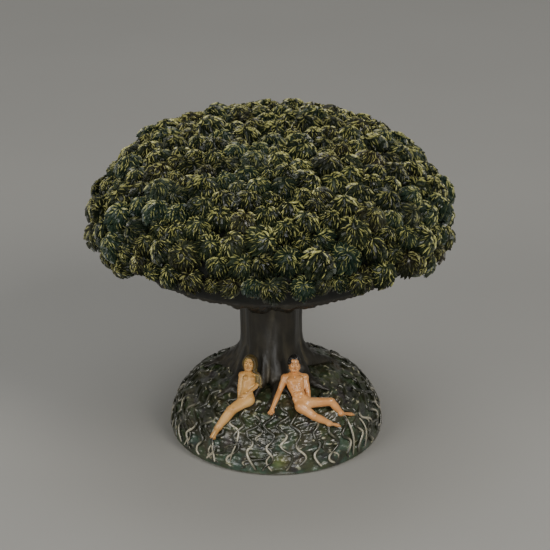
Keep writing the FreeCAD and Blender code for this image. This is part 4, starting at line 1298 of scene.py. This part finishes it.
# Hair is a dark coat with the lock's ridges brushed lighter.
gold_hair = painted(
    "brushed_golden_hair_paint",
    base=((0.30, "#3A2F14"), (0.60, "#5A4A22"), (0.80, "#75602E")),
    dry=((0.35, "#A88E48"), (0.70, "#D8BE70")),
    cover=(0.40, 0.74),
    streak_mm=1.5,
    roughness=0.42,
    lacquer=0.2,
    bump_mm=0.08,
)
black_hair = painted(
    "gloss_black_hair_paint",
    base=((0.30, "#0F0D0B"), (0.60, "#191614"), (0.80, "#231F1B")),
    dry=((0.35, "#3A3530"), (0.70, "#6A635A")),
    cover=(0.50, 1.00),
    streak_mm=1.5,
    roughness=0.30,
    lacquer=0.6,
    bump_mm=0.08,
)

# %% Model the woman
WOMAN_LOOK = (-0.28, -1.0, -0.10)
PARTS = ("torso", "right_arm", "left_arm", "right_leg", "left_leg")
down_hand, lap_hand = ((-0.25, -0.8, -0.7), (0.2, -0.4, 0.9)), ((-0.9, -0.45, -0.1), (0.15, -0.6, 0.8))
body = model_body(
    "woman_body",
    woman_at,
    torso=(5.0, 3.7, 4.5, 4.0),
    arm=(1.75, 1.35, 1.05),
    leg=(3.3, 2.35, 1.45, 1.15),
    hands=(down_hand, lap_hand),
    muscled=False,
)
finish_piece(body, pale_skin, "skin_light", *[f"woman_{part}" for part in PARTS])
finish_piece(model_head("woman_face", woman_at, WOMAN_LOOK, 0.95), pale_skin, "skin_light", "woman_head")
finish_piece(model_waves("woman_locks", woman_at, WOMAN_LOOK), gold_hair, "hair_gold", "woman_hair")

# %% Model the man
MAN_LOOK = (0.10, -1.0, 0.05)
flat_hand, rear_hand = ((-0.35, -0.9, -0.35), (0.0, -0.45, 0.9)), ((0.1, -0.8, -0.6), (0.2, -0.5, 0.8))
body = model_body(
    "man_body",
    man_at,
    torso=(4.9, 4.4, 5.9, 5.0),
    arm=(2.35, 1.75, 1.3),
    leg=(3.7, 2.7, 1.7, 1.35),
    hands=(flat_hand, rear_hand),
    muscled=True,
)
finish_piece(body, tan_skin, "skin_tan", *[f"man_{part}" for part in PARTS])
finish_piece(model_head("man_face", man_at, MAN_LOOK, 1.08), tan_skin, "skin_tan", "man_head")
finish_piece(model_crop("man_crop", man_at, MAN_LOOK), black_hair, "hair_black", "man_hair")

# %% [markdown]
# ## What the CAD already has right
# The dome behind the tufts, the felt and the hidden fastenings keep their CAD shape and get their finish.

# %% Felt and steel
# Felt is a matted mesh of wool: no shine, a soft rim of light, and tufts of fibre about a millimetre across.
felt, tree, shader = new_material("pressed_wool_felt")
wool = mottle(tree, 1.0, 6.0)
tone = ramp(tree, wool, (0.3, "#2A231B"), (0.7, "#4A3F31"))
matted = result(tree, "ShaderNodeBump", {"Height": wool, "Strength": 0.7, "Distance": 0.3 * MM})
wire(tree, shader, {"Base Color": tone, "Normal": matted, "Roughness": 0.95, "Sheen Weight": 0.4})

# Zinc-plated steel: a pale metal whose roughness clouds where the plating crystals are larger.
zinc, tree, shader = new_material("zinc_plated_steel")
place = add_node(tree, "ShaderNodeTexCoord").outputs["Object"]
crystals = {"Vector": place, "Scale": 1 / (1.5 * MM)}
spangle = add_node(tree, "ShaderNodeTexVoronoi", crystals).outputs["Distance"]
dull = result(tree, "ShaderNodeMapRange", {"Value": spangle, "To Min": 0.28, "To Max": 0.5})
tone = ramp(tree, spangle, (0.2, "#8F959B"), (0.8, "#B9BEC2"))
wire(tree, shader, {"Base Color": tone, "Roughness": dull, "Metallic": 1.0})

# %% Finish the CAD nodes that stay
finishes = {
    "crown_dome": crown_shade_paint,
    "felt_pad": felt,
    "figure_pins": zinc,
    "tie_rod": zinc,
    "rod_washers": zinc,
    "rod_nuts": zinc,
}
for node, finish in finishes.items():
    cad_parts[node].data.materials.clear()
    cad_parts[node].data.materials.append(finish)
print("finished where they are:", ", ".join(finishes))

# %% [markdown]
# ## The camera, the floor and the light
# The ornament stands on a plain floor under soft studio light, seen from a little above.

# %% Camera
CAMERA_ELEVATION = math.radians(26.3)
CAMERA_DISTANCE = 1.8
CAMERA_LENS = 181.3  # its focal length in mm
CAMERA_AIM = Vector((2.3 * MM, 0, 110.6 * MM))
camera = new_object("camera", bpy.data.cameras.new("camera"))
camera.data.lens = CAMERA_LENS
outwards = Vector((0, -math.cos(CAMERA_ELEVATION), math.sin(CAMERA_ELEVATION)))
camera.location = CAMERA_AIM + outwards * CAMERA_DISTANCE
camera.rotation_euler = (math.pi / 2 - CAMERA_ELEVATION, 0, 0)
bpy.context.scene.camera = camera
print("camera at", [round(v, 3) for v in camera.location])

# %% Floor
floor = mesh_object("floor", [(-4, -4, 0), (4, -4, 0), (4, 4, 0), (-4, 4, 0)], [(0, 1, 2, 3)])
floor_paper, tree, shader = new_material("matte_backdrop_paper")
tone = ramp(tree, mottle(tree, 1000 / 3, 3.0), (0.3, "#9C9C99"), (0.7, "#A1A19E"))
wire(tree, shader, {"Base Color": tone, "Roughness": 0.8, "Specular IOR Level": 0.15})
floor.data.materials.append(floor_paper)


# %% Lights
def soft_box(name, at, towards, size, watts, colour="#FFFFFF"):
    """A square area light that faces a point."""
    data = bpy.data.lights.new(name, "AREA")
    data.size = size
    data.energy = watts
    data.color = linear(colour)[:3]
    light = new_object(name, data)
    light.location = at
    light.rotation_euler = (Vector(towards) - Vector(at)).to_track_quat("-Z", "Y").to_euler()


# from the right and above, from the left, low in front, and from above to round off the crown
soft_box("key_box", (0.9, -1.0, 1.3), (0, 0, 0.1), 0.7, 15, "#FFF9F0")
soft_box("fill_box", (-1.1, -1.0, 1.0), (0, 0, 0.1), 0.9, 10, "#FFFBF4")
soft_box("front_box", (0.0, -1.6, 0.55), (0, 0, 0.08), 0.8, 7)
soft_box("top_box", (0.0, 0.5, 1.7), (0, 0.2, 0.1), 1.2, 8)
world = bpy.data.worlds.new("studio")
world.use_nodes = True
wire(world.node_tree, world.node_tree.nodes["Background"], {"Color": linear("#C8C6C2"), "Strength": 0.35})
bpy.context.scene.world = world
